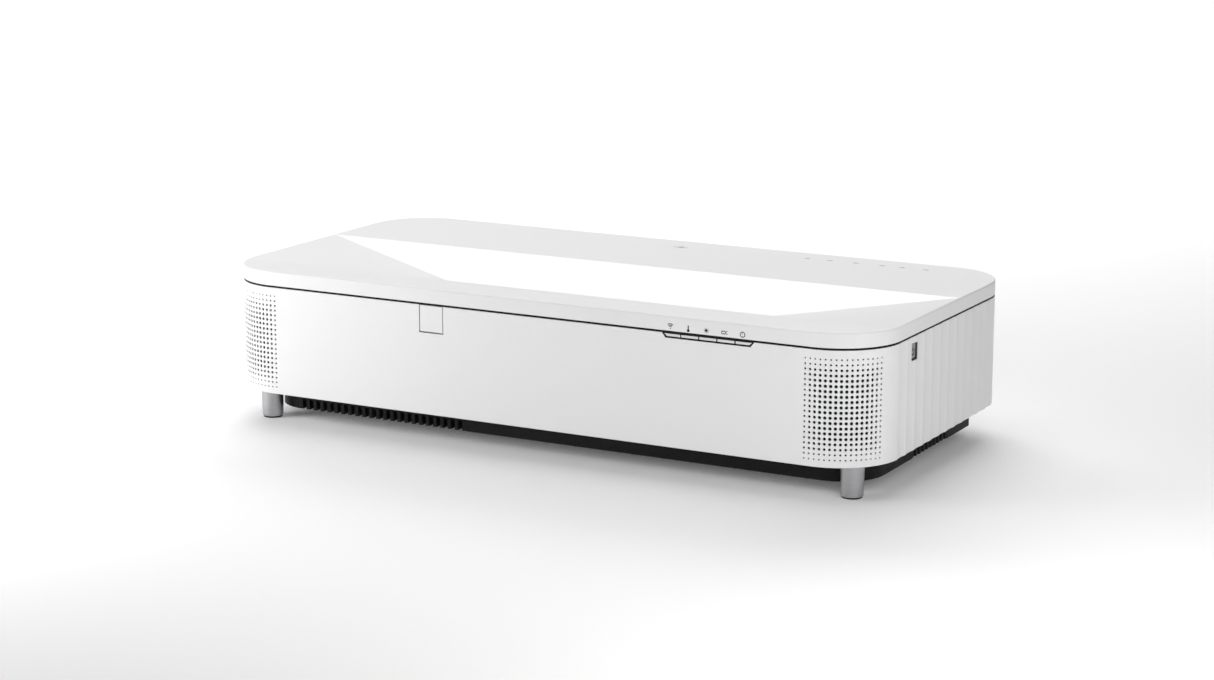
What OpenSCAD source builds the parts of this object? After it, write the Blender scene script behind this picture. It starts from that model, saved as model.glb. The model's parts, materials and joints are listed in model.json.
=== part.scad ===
// Ultra-short-throw home projector, built from the pieces that it comes apart into.
// Origin: floor level under the middle of the body. +X is right, -Y is the front, +Z is up.
// All sizes are in millimetres.

/* [Body] */
// Width of the body
body_w = 695; // [690:1:715]
// Depth of the body
body_d = 340; // [338:1:350]
// Overall height with the feet screwed in
body_h = 155; // [154:0.5:160]
// Radius of the four upright corners
corner_r = 60; // [58:1:62]
// Wall thickness of the white shells
wall = 3; // [2.5:0.5:3.5]
// Height of the housing's bottom edge above the floor
housing_z0 = 33.5; // [33:0.1:34]
// Height of the housing's top edge, where the shadow gap starts
seam_z = 139.3; // [139:0.1:140]
// Height of the shadow gap under the top cover
seam_gap = 2; // [1:0.5:2.5]

/* [Top recess] */
// Depth of the level rim in front of the recess
rim_d = 45.5; // [44:0.5:46]
// Distance of the rear ridge behind the middle of the body
ridge_y = 30; // [25:1:35]
// Fall of the recess floor for each millimetre towards the front
floor_fall = 0.15; // [0.14:0.005:0.155]
// Where the left facet meets the floor at the rim
crease_left_x = -36; // [-40:1:-34]
// Where the right facet meets the floor at the rim
crease_right_x = 117; // [115:1:120]
// Middle of the exit window, to the right of the body's middle
window_x = 40; // [39:1:41]
// Width of the exit window's glass
window_w = 128; // [120:1:128]
// Depth of the exit window's glass
window_d = 46; // [40:1:46]

/* [Side flutes] */
// Distance from one flute to the next
flute_pitch = 19.5; // [19:0.1:19.5]
// Depth of each concave flute
flute_depth = 0.9; // [0.5:0.1:1.2]
// Number of flutes on each side
flute_count = 12; // [6:1:12]
// Front edge of the first flute
flute_y0 = -113.5; // [-114:0.5:-113]

/* [Speaker perforation] */
// Distance between neighbouring holes
perf_pitch = 4.76; // [4.7:0.01:4.8]
// Columns of holes around each front corner
perf_columns = 16; // [8:1:16]
// Rows of holes
perf_rows = 20; // [8:1:20]
// Distance of the first column from the middle of the body
perf_x0 = 282.3; // [281:0.1:284]
// Height of the lowest row
perf_z0 = 40.5; // [40:0.1:41]

/* [Base] */
// Width of the black base
base_w = 647; // [645:1:650]
// Front face of the base
base_y0 = -128.5; // [-129:0.5:-128]
// Rear face of the base
base_y1 = 128; // [126:1:130]
// Radius of the base's front corners
base_r = 43; // [42:1:44]
// Radius of the base's rear corners
base_rear_r = 5; // [4:0.5:8]
// Height of the base's underside above the floor
base_z0 = 10; // [9.5:0.5:10]
// Spacing of the four ceiling-mount holes, left to right
mount_dx = 200; // [190:1:204]
// Spacing of the four ceiling-mount holes, front to rear
mount_dy = 160; // [150:1:164]
// Radius of each tapped ceiling-mount hole
mount_hole_r = 2; // [1.6:0.1:2.2]
// Distance between the intake's notches in the front edge
intake_pitch = 8.2; // [8:0.1:8.2]
// Distance between the exhaust's notches in the right edge
exhaust_pitch = 9.1; // [9:0.1:9.2]
// Width of each notch
notch_w = 4.4; // [3:0.1:5]
// Reach of each notch's slope, up and inwards from the base's lower edge
notch_d = 10.5; // [8:0.5:10.5]

/* [Feet] */
// Distance of each front foot from the middle, left or right
foot_x = 313.5; // [312:0.5:314]
// Front feet, front to rear
foot_y = -133.5; // [-134:0.5:-133]
// Radius of a front foot's top
foot_r = 11; // [10:0.5:11.5]
// Radius of a front foot's threaded stud
stud_r = 4; // [3:0.5:4]
// Distance of each rear foot from the middle
rear_foot_x = 280; // [276:1:282]
// Rear feet, front to rear
rear_foot_y = 150; // [148:1:151]

/* [Focus door and controls] */
// Left edge of the focus door
door_x = -116; // [-116.5:0.5:-115.5]
// Width of the focus door
door_w = 25.6; // [25:0.1:26]
// Bottom edge of the focus door
door_z = 113.2; // [113:0.1:113.5]
// Front edge of the power button's pocket on the right side
button_y = -82; // [-83:0.1:-81]
// Bottom edge of the power button's pocket
button_z = 118; // [117.5:0.1:118]
// Left edge of the status light bar at the seam
status_x = 142; // [141:0.5:143]
// Width of the status light bar at the seam
status_w = 90; // [89:0.5:91]

/* [Optics] */
// Projection lens axis, front to rear
lens_y = -60; // [-61:0.5:-59]
// Projection lens axis, height
lens_z = 88; // [87:0.5:89]
// Outer radius of the lens barrel
barrel_r = 28; // [27:0.5:28]
// Middle of the focus ring and its lever
focus_x = -103; // [-104:0.5:-102]

/* [Hidden] */
$fn = 64;

half_w = body_w / 2;
half_d = body_d / 2;
corner_x = half_w - corner_r;
corner_y = -half_d + corner_r;
rim_y = -half_d + rim_d;
cover_z0 = seam_z + seam_gap;
flange_z = housing_z0 + wall;
chassis_z = flange_z + 1.5;
base_floor_z = base_z0 + 3;
crease_y = -120;
crease_drop = (ridge_y - crease_y) * floor_fall;
left_fall = crease_drop / (half_w + crease_left_x);
right_fall = crease_drop / (half_w - crease_right_x);
valley_x = half_w * (right_fall - left_fall) / (right_fall + left_fall);
window_y = -96;
slope_angle = atan(floor_fall);
flute_chord = flute_pitch - 0.5;
flute_r = (pow(flute_chord / 2, 2) + pow(flute_depth, 2)) / (2 * flute_depth);
perf_full_r = 1.52;
perf_side_r = [1.05, 1.28, 1.42];
perf_end_r = [0.8, 0.95, 1.23, 1.36, 1.48];
grille_z0 = perf_z0 - 3.2;
grille_z1 = perf_z0 + (perf_rows - 1) * perf_pitch + 3;
grille_angle = ((perf_columns - 1) * perf_pitch + perf_x0 - corner_x) / corner_r * 180 / PI + 3;
hinge_r = 1.8;
hinge_y = -half_d + hinge_r;
hinge_z = door_z + hinge_r;
door_top = seam_z - 0.3;
pin_r = 0.8;
button_w = 12.2;
button_h = 14.6;
status_drop = 3.6;
panel_x0 = 128;
panel_x1 = 286;
panel_z0 = 50;
panel_z1 = 86;
board_z = 58;
port_z = board_z + 6;
hdmi_x = [166, 194, 222];
usb_x = 141.5;
audio_x = 243;
inlet_x = 268;
filter_x0 = -286;
filter_x1 = -91;
filter_rear_y = -30;
vent_bar = 12;
intake_notches = 23;
exhaust_notches = 9;
exhaust_y0 = -19;
exhaust_y1 = 67;
pad_h = 1.6;
tub_screws = [[-302, -95], [302, -95], [-302, 95], [302, 95], [-100, 113], [100, 113], [60, -111]];
mount_mid = [25, 5];
intake_at = [-200, -58];
blower_at = [262, 24];
laser_fan_y = -8;
laser_fan_at = [-297, 82];
axial_r = 37.5;
speaker_z0 = 54;
speaker_z1 = 122;
speaker_mid_z = (speaker_z0 + speaker_z1) / 2;
driver_r = 30;
wheel_axis = [72, 70];
wheel_x = -262;
tray_x0 = -252;
tray_x1 = -168;
tray_y0 = -96;
tray_y1 = 120;
tray_z0 = 56;
tray_z1 = 108;
lever_tip = [-159, 126];
mirror_centre = [window_x, -40, 140];
mirror_r = 108;

white = [0.93, 0.93, 0.92];
black = [0.06, 0.06, 0.065];
dark_grey = [0.2, 0.2, 0.21];
metal = [0.72, 0.72, 0.73];
board_green = [0.05, 0.3, 0.16];
glass_tint = [0.5, 0.6, 0.68, 0.5];

function floor_z(y) = body_h - floor_fall * (ridge_y - y);
// Radius of a hole: the holes grow from the edges of the pattern inwards, until they are full size
function grown(list, k) = k < len(list) ? list[k] : perf_full_r;
function perf_r(column, row) = min(grown(perf_side_r, min(column, perf_columns - 1 - column)),
    grown(perf_end_r, min(row, perf_rows - 1 - row)));

// ---- Shared shapes ----

module round_rect(x0, x1, y0, y1, r) {
    translate([x0 + r, y0]) square([x1 - x0 - 2 * r, y1 - y0]);
    translate([x0, y0 + r]) square([x1 - x0, y1 - y0 - 2 * r]);
    for (x = [x0 + r, x1 - r], y = [y0 + r, y1 - r]) translate([x, y]) circle(r, $fn = 96);
}

module body_plan(inset = 0)
    round_rect(-half_w + inset, half_w - inset, -half_d + inset, half_d - inset, corner_r - inset);

// Plan of the base: wide corners at the front, tight ones at the rear
module base_plan(inset = 0) {
    x = base_w / 2 - inset;
    round_rect(-x, x, base_y0 + inset, base_y1 - base_r, base_r - inset);
    round_rect(-x, x, 0, base_y1 - inset, max(base_rear_r - inset, 1));
}

module upright(z0, z1) translate([0, 0, z0]) linear_extrude(z1 - z0) children();

module block(x0, x1, y0, y1, z0, z1) translate([x0, y0, z0]) cube([x1 - x0, y1 - y0, z1 - z0]);

// A cylinder along X
module rod_x(x0, x1, y, z, r) translate([x0, y, z]) rotate([0, 90, 0]) cylinder(h = x1 - x0, r = r);

// A cylinder along Y
module rod_y(x, y0, y1, z, r) translate([x, y0, z]) rotate([-90, 0, 0]) cylinder(h = y1 - y0, r = r);

// An XZ outline pushed along Y, or a YZ outline pushed along X
module along_y(y0, y1) translate([0, y1, 0]) rotate([90, 0, 0]) linear_extrude(y1 - y0) children();
module along_x(x0, x1)
    translate([x0, 0, 0]) rotate([90, 0, 90]) linear_extrude(x1 - x0) children();

module both_sides() {
    children();
    mirror([1, 0, 0]) children();
}

// Places children on the sloping recess floor, with Z along the floor's normal
module on_floor(x, y) translate([x, y, floor_z(y)]) rotate([slope_angle, 0, 0]) children();

module centred(w, d, z0, z1) translate([-w / 2, -d / 2, z0]) cube([w, d, z1 - z0]);

// Places children on the diagonal of the right front corner, with X pointing out of the corner
module corner_frame() translate([corner_x, corner_y, 0]) rotate([0, 0, -45]) children();

// ---- Shells ----

// Space above the recess; drop and front lower and widen it to make the shell under it
module recess(drop = 0, front = 0) {
    low = body_h - drop;
    above = body_h + 10;
    intersection() {
        along_x(-half_w - 1, half_w + 1) polygon([
            [ridge_y, low], [rim_y - front, low - floor_fall * (ridge_y - rim_y + front)],
            [rim_y - front, above], [ridge_y, above]]);
        along_y(rim_y - front - 1, ridge_y + 1) polygon([
            [-half_w, low], [valley_x, low - left_fall * (half_w + valley_x)], [half_w, low],
            [half_w + 1, above], [-half_w - 1, above]]);
    }
}

module top_cover() color(white) difference() {
    union() {
        upright(cover_z0, body_h) body_plan();
        upright(120, cover_z0 + 1) body_plan(wall + 0.6);
    }
    recess();
    difference() {
        upright(119, body_h - wall) body_plan(wall);
        recess(wall, wall);
    }
    on_floor(window_x, window_y) centred(window_w + 6, window_d + 4, -8, 4);
}

module seam_gasket() color(black) difference() {
    union() {
        upright(seam_z, cover_z0) difference() { body_plan(2); body_plan(wall + 0.5); }
        upright(seam_z - 3, cover_z0 + 3) difference() { body_plan(wall); body_plan(wall + 2); }
    }
    block(door_x - 3, door_x + door_w + 3, -half_d - 1, -half_d + 9, seam_z - 4, seam_z);
    block(status_x - 4, status_x + status_w + 4, -half_d - 1, -half_d + 9, seam_z - 4, seam_z);
}

module flutes() both_sides() for (i = [0 : flute_count - 1])
    translate([half_w + flute_r - flute_depth, flute_y0 + (i + 0.5) * flute_pitch, housing_z0 - 1])
        cylinder(h = seam_z - housing_z0 + 2, r = flute_r, $fn = 128);

// Sector of the right front corner that the speaker panel fills
module speaker_sector(gap = 0) {
    a = grille_angle - gap;
    polygon([[perf_x0 - 3 + gap, -half_d - 20], [perf_x0 - 3 + gap, corner_y], [corner_x, corner_y],
        [corner_x + 120 * sin(a), corner_y - 120 * cos(a)], [half_w + 60, -half_d - 20]]);
}

module status_outline(grow = 0) polygon([
    [status_x - grow, seam_z + 1], [status_x + status_w + grow, seam_z + 1],
    [status_x + status_w + grow, seam_z],
    [status_x + status_w - 3.5 + grow, seam_z - status_drop - grow],
    [status_x + 3.5 - grow, seam_z - status_drop - grow], [status_x - grow, seam_z]]);

module main_housing() color(white) difference() {
    union() {
        upright(housing_z0, seam_z) difference() { body_plan(); body_plan(wall); }
        upright(housing_z0, flange_z) difference() {
            body_plan(1);
            round_rect(-285, 285, -100, 105, 20);
        }
        both_sides() translate([foot_x, foot_y, housing_z0]) cylinder(h = 17, r = 9);
        both_sides() translate([rear_foot_x, rear_foot_y, housing_z0]) cylinder(h = 12, r = 8);
        for (p = tub_screws) translate([p[0], p[1], housing_z0]) cylinder(h = 12, r = 4);
    }
    flutes();
    both_sides() upright(grille_z0, grille_z1) speaker_sector();
    both_sides() translate([foot_x, foot_y, housing_z0 - 1]) cylinder(h = 20, r = 6);
    both_sides() translate([rear_foot_x, rear_foot_y, housing_z0 - 1]) cylinder(h = 11, r = 2.5);
    for (p = tub_screws) translate([p[0], p[1], housing_z0 - 1]) cylinder(h = 11, r = 1.5);
    block(door_x - 0.4, door_x + door_w + 0.4, -half_d - 1, -half_d + wall + 1, door_z - 0.5, 150);
    rod_x(door_x - 3, door_x + door_w + 3, hinge_y, hinge_z, pin_r + 0.02);
    along_y(-half_d - 1, -half_d + wall + 1) status_outline(1);
    button_box(half_w - wall - 1, half_w + 1, 0.8);
    block(panel_x0, panel_x1, half_d - wall - 1, half_d + 1, panel_z0, panel_z1);
}

module base_tub() color(black) difference() {
    union() {
        upright(base_z0, housing_z0) difference() { base_plan(); base_plan(3); }
        upright(base_z0, base_floor_z) base_plan();
        for (p = tub_screws) translate([p[0], p[1], base_z0]) cylinder(h = housing_z0 - base_z0, r = 5);
        for (sx = [-0.5, 0.5], sy = [-0.5, 0.5])
            translate([mount_mid[0] + sx * mount_dx, mount_mid[1] + sy * mount_dy, base_z0])
                cylinder(h = 13, r = 6);
    }
    for (p = tub_screws) {
        translate([p[0], p[1], base_z0 - 1]) cylinder(h = 40, r = 1.7);
        translate([p[0], p[1], base_z0 - 1]) cylinder(h = 5, r = 3.4);
    }
    for (sx = [-0.5, 0.5], sy = [-0.5, 0.5])
        translate([mount_mid[0] + sx * mount_dx, mount_mid[1] + sy * mount_dy, base_z0 - 1])
            cylinder(h = 11, r = mount_hole_r);
    block(filter_x0 - 0.3, filter_x1 + 0.3, base_y0 - 2, base_y0 + vent_bar + 0.3, base_z0 - 1, 31);
    block(base_w / 2 - vent_bar - 0.3, base_w / 2 + 1, exhaust_y0, exhaust_y1, base_z0 - 1, 31);
}

module chassis_plate() color(metal) difference() {
    upright(flange_z, chassis_z) round_rect(-296, 296, -107, 108, 12);
    translate([intake_at[0], intake_at[1], flange_z - 1]) cylinder(h = 4, r = 35);
    translate([blower_at[0], blower_at[1], flange_z - 1]) cylinder(h = 4, r = 25);
    for (p = tub_screws) translate([p[0], p[1], flange_z - 1]) cylinder(h = 4, r = 4.5);
}

module base_screws() color(metal) for (p = tub_screws) translate([p[0], p[1], 0]) difference() {
    union() {
        translate([0, 0, base_z0 + 2]) cylinder(h = 2, r = 3);
        translate([0, 0, base_z0 + 3]) cylinder(h = flange_z + 4 - base_z0, r = 1.45);
    }
    translate([0, 0, base_z0 + 1]) cylinder(h = 2, r = 1.2, $fn = 6);
}

// ---- Speakers ----

module speaker_grille() difference() {
    upright(grille_z0 + 0.1, grille_z1 - 0.1) intersection() {
        difference() { body_plan(); body_plan(wall - 1); }
        speaker_sector(0.15);
    }
    for (c = [0 : perf_columns - 1], r = [0 : perf_rows - 1]) {
        s = perf_x0 + c * perf_pitch - corner_x;
        turn = s > 0 ? s / corner_r * 180 / PI : 0;
        translate([corner_x, corner_y, perf_z0 + r * perf_pitch]) rotate([0, 0, turn])
            translate([min(s, 0), -corner_r - 1, 0]) rotate([-90, 0, 0])
                cylinder(h = wall + 2, r = perf_r(c, r), $fn = 24);
    }
}
module speaker_grille_right() color(white) speaker_grille();
module speaker_grille_left() color(white) mirror([1, 0, 0]) speaker_grille();

module speaker_boxes() color(dark_grey) both_sides() corner_frame() difference() {
    block(-30, 41, -34, 34, speaker_z0, speaker_z1);
    block(-27, 38, -31, 31, speaker_z0 + 3, speaker_z1 - 3);
    rod_x(30, 45, 0, speaker_mid_z, driver_r - 2);
}

module speaker_drivers() color(metal) both_sides() corner_frame() {
    difference() {
        rod_x(20, 38, 0, speaker_mid_z, driver_r);
        rod_x(22, 39, 0, speaker_mid_z, driver_r - 2.5);
        rod_x(19, 23, 0, speaker_mid_z, 12);
    }
    difference() {
        rod_x(4, 20, 0, speaker_mid_z, 18);
        rod_x(12, 21, 0, speaker_mid_z, 11);
    }
}

module speaker_cone() corner_frame() translate([0, 0, speaker_mid_z]) rotate([0, 90, 0])
    rotate_extrude($fn = 72) polygon([[0, 25.5], [9, 25.5], [9, 14], [10, 14], [10, 25], [25, 33],
        [27, 33], [27, 34], [25, 34], [9, 26.8], [0, 28.5]]);
module speaker_cone_right() color(black) speaker_cone();
module speaker_cone_left() color(black) mirror([1, 0, 0]) speaker_cone();

// ---- Exit window, door, lights and button ----

module window_frame() color(black) on_floor(window_x, window_y) difference() {
    union() {
        centred(window_w + 12, window_d + 10, 0.05, 1);
        centred(window_w + 5.6, window_d + 3.6, -5, 0.5);
    }
    centred(window_w - 4, window_d - 4, -6, 2);
    centred(window_w + 0.4, window_d + 0.4, -2.6, 2);
}

module exit_window() color(glass_tint) on_floor(window_x, window_y)
    centred(window_w, window_d, -2.5, -0.3);

module focus_door() color(white) difference() {
    union() {
        block(door_x, door_x + door_w, -half_d, -half_d + 2.5, hinge_z, door_top);
        rod_x(door_x, door_x + door_w, hinge_y, hinge_z, hinge_r);
        block(door_x + 9, door_x + 16.6, -half_d + 2, -half_d + 3.6, door_top - 4, door_top - 2.5);
    }
    rod_x(door_x - 1, door_x + door_w + 1, hinge_y, hinge_z, pin_r + 0.05);
}

module door_hinge_pin() color(metal)
    rod_x(door_x - 2.5, door_x + door_w + 2.5, hinge_y, hinge_z, pin_r);

module status_windows(gap = 0) for (i = [0 : 4]) intersection() {
    status_outline(-0.6 - gap);
    translate([status_x + i * status_w / 5 + 0.5 + gap, seam_z - 6])
        square([status_w / 5 - 1 - 2 * gap, 5.4]);
}

module status_bezel() color(black) difference() {
    along_y(-half_d + 0.2, -half_d + wall) intersection() {
        status_outline(0.9);
        translate([status_x - 5, seam_z - 9]) square([status_w + 10, 8.9]);
    }
    along_y(-half_d - 1, -half_d + wall + 1) status_windows();
}

module status_lenses() color([0.8, 0.82, 0.83]) along_y(-half_d + 0.1, -half_d + wall) status_windows(0.1);

module led_board() color(board_green) {
    block(status_x - 1, status_x + status_w + 1, -half_d + 7, -half_d + 8.6, seam_z - 14, seam_z - 1);
    for (i = [0 : 4])
        block(status_x + (i + 0.5) * status_w / 5 - 1.5, status_x + (i + 0.5) * status_w / 5 + 1.5,
            -half_d + 5.4, -half_d + 7.2, seam_z - 4.4, seam_z - 1.6);
}

// A box around the power button's outline, grown by a margin
module button_box(x0, x1, grow) block(x0, x1, button_y - grow, button_y + button_w + grow,
    button_z - grow, button_z + button_h + grow);

module power_button() color([0.8, 0.8, 0.79]) {
    button_box(half_w - 5.6, half_w - 2.6, -0.3);
    rod_x(half_w - 9.5, half_w - 5, button_y + button_w / 2, button_z + button_h / 2, 2.5);
}

module button_guide() color(black) difference() {
    union() {
        button_box(half_w - 12, half_w - wall, 2.4);
        button_box(half_w - wall - 0.5, half_w - 1.2, 0.8);
    }
    button_box(half_w - 10.8, half_w, 0);
}

// ---- Rear sockets ----

module port_cut(x, w, h, y1) block(x - w / 2, x + w / 2, half_d - 30, y1, port_z - h / 2, port_z + h / 2);

module io_panel() color(dark_grey) difference() {
    block(panel_x0 + 0.2, panel_x1 - 0.2, half_d - 3.5, half_d - 1.5, panel_z0 + 0.2, panel_z1 - 0.2);
    for (x = hdmi_x) port_cut(x, 17.4, 8.4, half_d + 1);
    port_cut(usb_x, 15.4, 9, half_d + 1);
    port_cut(audio_x, 14.4, 11.9, half_d + 1);
    block(inlet_x - 14.2, inlet_x + 14.2, half_d - 5, half_d + 1, port_z - 6, port_z + 15.2);
}

// A socket shell of w by h outside, with a hole of hole_w by hole_h and a tongue inside
module socket(x, w, h, hole_w, hole_h, depth, tongue) {
    difference() {
        block(x - w / 2, x + w / 2, half_d - depth, half_d - 1.2, port_z - h / 2, port_z + h / 2);
        block(x - hole_w / 2, x + hole_w / 2, half_d - depth + 2, half_d, port_z - hole_h / 2,
            port_z + hole_h / 2);
    }
    if (tongue) block(x - hole_w / 2 + 2, x + hole_w / 2 - 2, half_d - depth + 1, half_d - 7,
        port_z - 0.8, port_z + 0.8);
}

module hdmi_sockets() color(metal) for (x = hdmi_x) socket(x, 17, 8, 14.6, 5.4, 16, true);
module usb_socket() color(metal) socket(usb_x, 15, 8.6, 12.8, 6, 18, true);
module audio_socket() color(black) socket(audio_x, 14, 11.5, 9, 8.6, 15, false);

module ac_inlet() color(black) {
    difference() {
        block(inlet_x - 14, inlet_x + 14, half_d - 26, half_d - 1.2, port_z - 5.8, port_z + 15);
        block(inlet_x - 10.5, inlet_x + 10.5, half_d - 20, half_d, port_z - 1, port_z + 10);
    }
    for (s = [-1, 1]) rod_y(inlet_x + s * 4.3, half_d - 21, half_d - 8, port_z + 4.5, 1.2);
}

// ---- Air path ----

// One notch in the lower edge of a vent bar, with its slit to the inside; +Y points inwards
module vent_notch() {
    along_x(-notch_w / 2, notch_w / 2)
        polygon([[-1, -1], [notch_d + 1, -1], [-1, notch_d + 1]]);
    block(-1.4, 1.4, 3, vent_bar + 1, 5.5, 14);
}

module filter_drawer() color(black) difference() {
    union() {
        upright(base_z0, 30.7) intersection() {
            difference() { base_plan(); base_plan(vent_bar); }
            translate([filter_x0, base_y0 - 1]) square([filter_x1 - filter_x0, vent_bar + 1]);
        }
        difference() {
            block(filter_x0 + 3, filter_x1 - 3, base_y0 + vent_bar - 0.5, filter_rear_y,
                base_floor_z + 0.3, 27);
            block(filter_x0 + 5, filter_x1 - 5, base_y0 + vent_bar + 2, filter_rear_y - 2, base_floor_z + 2, 28);
            block(filter_x0 + 11, filter_x1 - 11, base_y0 + vent_bar + 8, filter_rear_y - 8,
                base_floor_z - 1, 20);
            block(filter_x0 + 6, filter_x1 - 6, base_y0 + vent_bar - 1, base_y0 + vent_bar + 3,
                base_z0 + 5.5, base_z0 + 14);
        }
    }
    for (i = [0 : intake_notches - 1])
        translate([filter_x0 + 7.3 + i * intake_pitch, base_y0, base_z0]) vent_notch();
}

module air_filter() color([0.85, 0.85, 0.82]) {
    difference() {
        block(filter_x0 + 5.3, filter_x1 - 5.3, base_y0 + vent_bar + 2.3, filter_rear_y - 2.3,
            base_floor_z + 2.1, 26);
        block(filter_x0 + 9, filter_x1 - 9, base_y0 + vent_bar + 6, filter_rear_y - 6,
            base_floor_z + 1, 27);
    }
    for (i = [0 : 17])
        block(filter_x0 + 9 + i * 9.9, filter_x0 + 15 + i * 9.9, base_y0 + vent_bar + 5.9,
            filter_rear_y - 5.9, base_floor_z + 4, 25);
}

module exhaust_grille() color(black) difference() {
    block(base_w / 2 - vent_bar, base_w / 2, exhaust_y0 + 0.1, exhaust_y1 - 0.1, base_z0, 30.9);
    for (i = [0 : exhaust_notches - 1])
        translate([base_w / 2, exhaust_y0 + 6.6 + i * exhaust_pitch, base_z0]) rotate([0, 0, 90])
            vent_notch();
}

// Square axial fan frame with its motor seat, axis along Z, standing on z = 0
module axial_frame() {
    difference() {
        centred(80, 80, 0, 15);
        translate([0, 0, -1]) cylinder(h = 17, r = axial_r, $fn = 96);
        for (x = [-35.5, 35.5], y = [-35.5, 35.5]) translate([x, y, -1]) cylinder(h = 17, r = 2.1);
    }
    for (a = [30 : 120 : 270]) rotate([0, 0, a]) block(14, axial_r + 0.5, -2, 2, 0, 2);
    cylinder(h = 2, r = 15);
    cylinder(h = 10, r = 1.5);
}

module axial_rotor() difference() {
    union() {
        translate([0, 0, 2.6]) cylinder(h = 11, r = 14);
        intersection() {
            for (i = [0 : 6]) rotate([0, 0, i * 360 / 7]) translate([0, 0, 8])
                rotate([35, 0, 0]) block(13, axial_r, -7.5, 7.5, -0.7, 0.7);
            translate([0, 0, 3]) cylinder(h = 11, r = axial_r - 1.2);
        }
    }
    translate([0, 0, 2]) cylinder(h = 8.5, r = 1.55);
}

module at_intake() translate([intake_at[0], intake_at[1], chassis_z]) children();
module at_laser_fan()
    translate([laser_fan_at[0], laser_fan_y, laser_fan_at[1]]) rotate([-90, 0, 0]) children();

module intake_fan_frame() color(black) at_intake() axial_frame();
module intake_fan_rotor() color(dark_grey) at_intake() axial_rotor();
module laser_fan_frame() color(black) at_laser_fan() axial_frame();
module laser_fan_rotor() color(dark_grey) at_laser_fan() axial_rotor();

module exhaust_blower_case() color(black) translate([blower_at[0], blower_at[1], base_floor_z]) {
    difference() {
        union() {
            cylinder(h = 20, r = 40);
            block(0, base_w / 2 - vent_bar - 0.5 - blower_at[0], -40, 40, 0, 20);
        }
        translate([0, 0, 2]) cylinder(h = 16, r = 38);
        block(1, 80, -38, 38, 2, 18);
        translate([0, 0, 10]) cylinder(h = 11, r = 24);
    }
    cylinder(h = 14, r = 2);
}

module exhaust_blower_rotor() color(dark_grey)
    translate([blower_at[0], blower_at[1], base_floor_z]) difference() {
        union() {
            translate([0, 0, 2.6]) cylinder(h = 1.4, r = 34);
            translate([0, 0, 2.6]) cylinder(h = 12.4, r = 12);
            for (i = [0 : 19]) rotate([0, 0, i * 18]) translate([29, 0, 3]) rotate([0, 0, 40])
                block(-4.5, 4.5, -0.6, 0.6, 0, 13);
        }
        translate([0, 0, 2]) cylinder(h = 12.3, r = 2.05);
    }

// ---- Feet ----

module front_foot() translate([foot_x, foot_y, 0]) {
    rotate_extrude($fn = 96) polygon([[0, pad_h], [foot_r - 1.2, pad_h], [foot_r - 0.7, pad_h + 0.6],
        [foot_r, housing_z0 - 0.5], [stud_r, housing_z0 - 0.5], [stud_r, 49], [stud_r - 1, 50], [0, 50]]);
}
module front_foot_right() color(metal) front_foot();
module front_foot_left() color(metal) mirror([1, 0, 0]) front_foot();

module foot_pad() translate([foot_x, foot_y, 0]) cylinder(h = pad_h, r = foot_r - 1.6);
module foot_pad_right() color(black) foot_pad();
module foot_pad_left() color(black) mirror([1, 0, 0]) foot_pad();

module foot_inserts() color([0.8, 0.65, 0.3]) both_sides() translate([foot_x, foot_y, housing_z0])
    difference() {
        cylinder(h = 16.5, r = 5.95);
        translate([0, 0, -1]) cylinder(h = 19, r = stud_r + 0.05);
    }

module rear_feet() color(black) both_sides() translate([rear_foot_x, rear_foot_y, 0]) {
    translate([0, 0, 3]) cylinder(h = housing_z0 - 3, r = 10);
    translate([0, 0, 20]) cylinder(h = housing_z0 - 12, r = 2.4);
}

module rear_foot_pads() color(dark_grey) both_sides()
    translate([rear_foot_x, rear_foot_y, 0]) cylinder(h = 3, r = 9);

// ---- Light source and colour optics ----

module laser_block() color([0.55, 0.5, 0.42]) difference() {
    block(-297.5, -268, 58, 106, chassis_z, 104);
    rod_x(-285, -267, 90, lens_z, 9);
    rod_x(-285, -267, wheel_axis[0], wheel_axis[1], 4);
}

module laser_heatsink() color(metal) {
    block(-308.5, -304.5, 20, 108, 47, 128);
    for (i = [0 : 21]) block(-337, -308, 20 + i * 4.13, 21.2 + i * 4.13, 47, 128);
    for (z = [52, 66, 80, 94]) rod_y(-301.2, 22, 106, z, 3.6);
}

module phosphor_motor() color(dark_grey) {
    rod_x(wheel_x + 3, tray_x0, wheel_axis[0], wheel_axis[1], 12);
    rod_x(wheel_x - 3, wheel_x + 4, wheel_axis[0], wheel_axis[1], 1.5);
}

module phosphor_wheel() color([0.9, 0.75, 0.2]) difference() {
    union() {
        rod_x(wheel_x, wheel_x + 1.5, wheel_axis[0], wheel_axis[1], 28);
        rod_x(wheel_x - 2, wheel_x + 2.6, wheel_axis[0], wheel_axis[1], 7);
    }
    rod_x(wheel_x - 4, wheel_x + 4, wheel_axis[0], wheel_axis[1], 1.55);
}

module optics_frame() color(metal) difference() {
    union() {
        difference() {
            block(tray_x0, tray_x1, tray_y0, tray_y1, tray_z0, tray_z1);
            block(tray_x0 + 3, tray_x1 - 3, tray_y0 + 3, tray_y1 - 3, tray_z0 + 3, tray_z1 + 1);
        }
        for (x = [tray_x0 + 5, tray_x1 - 5], y = [tray_y0 + 38, tray_y1 - 15])
            if (y > 0) translate([x, y, chassis_z]) cylinder(h = tray_z0 - chassis_z + 1, r = 4);
        for (x = [tray_x0 + 5, tray_x1 - 5]) translate([x, -3, chassis_z])
            cylinder(h = tray_z0 - chassis_z + 1, r = 4);
    }
    translate([intake_at[0] - 6, lens_y, tray_z0 - 1]) centred(34, 60, 0, 6);
    rod_x(tray_x1 - 5, tray_x1 + 1, lens_y, lens_z, 19);
    rod_x(tray_x0 - 1, tray_x0 + 5, 96, lens_z, 8);
}

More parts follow.
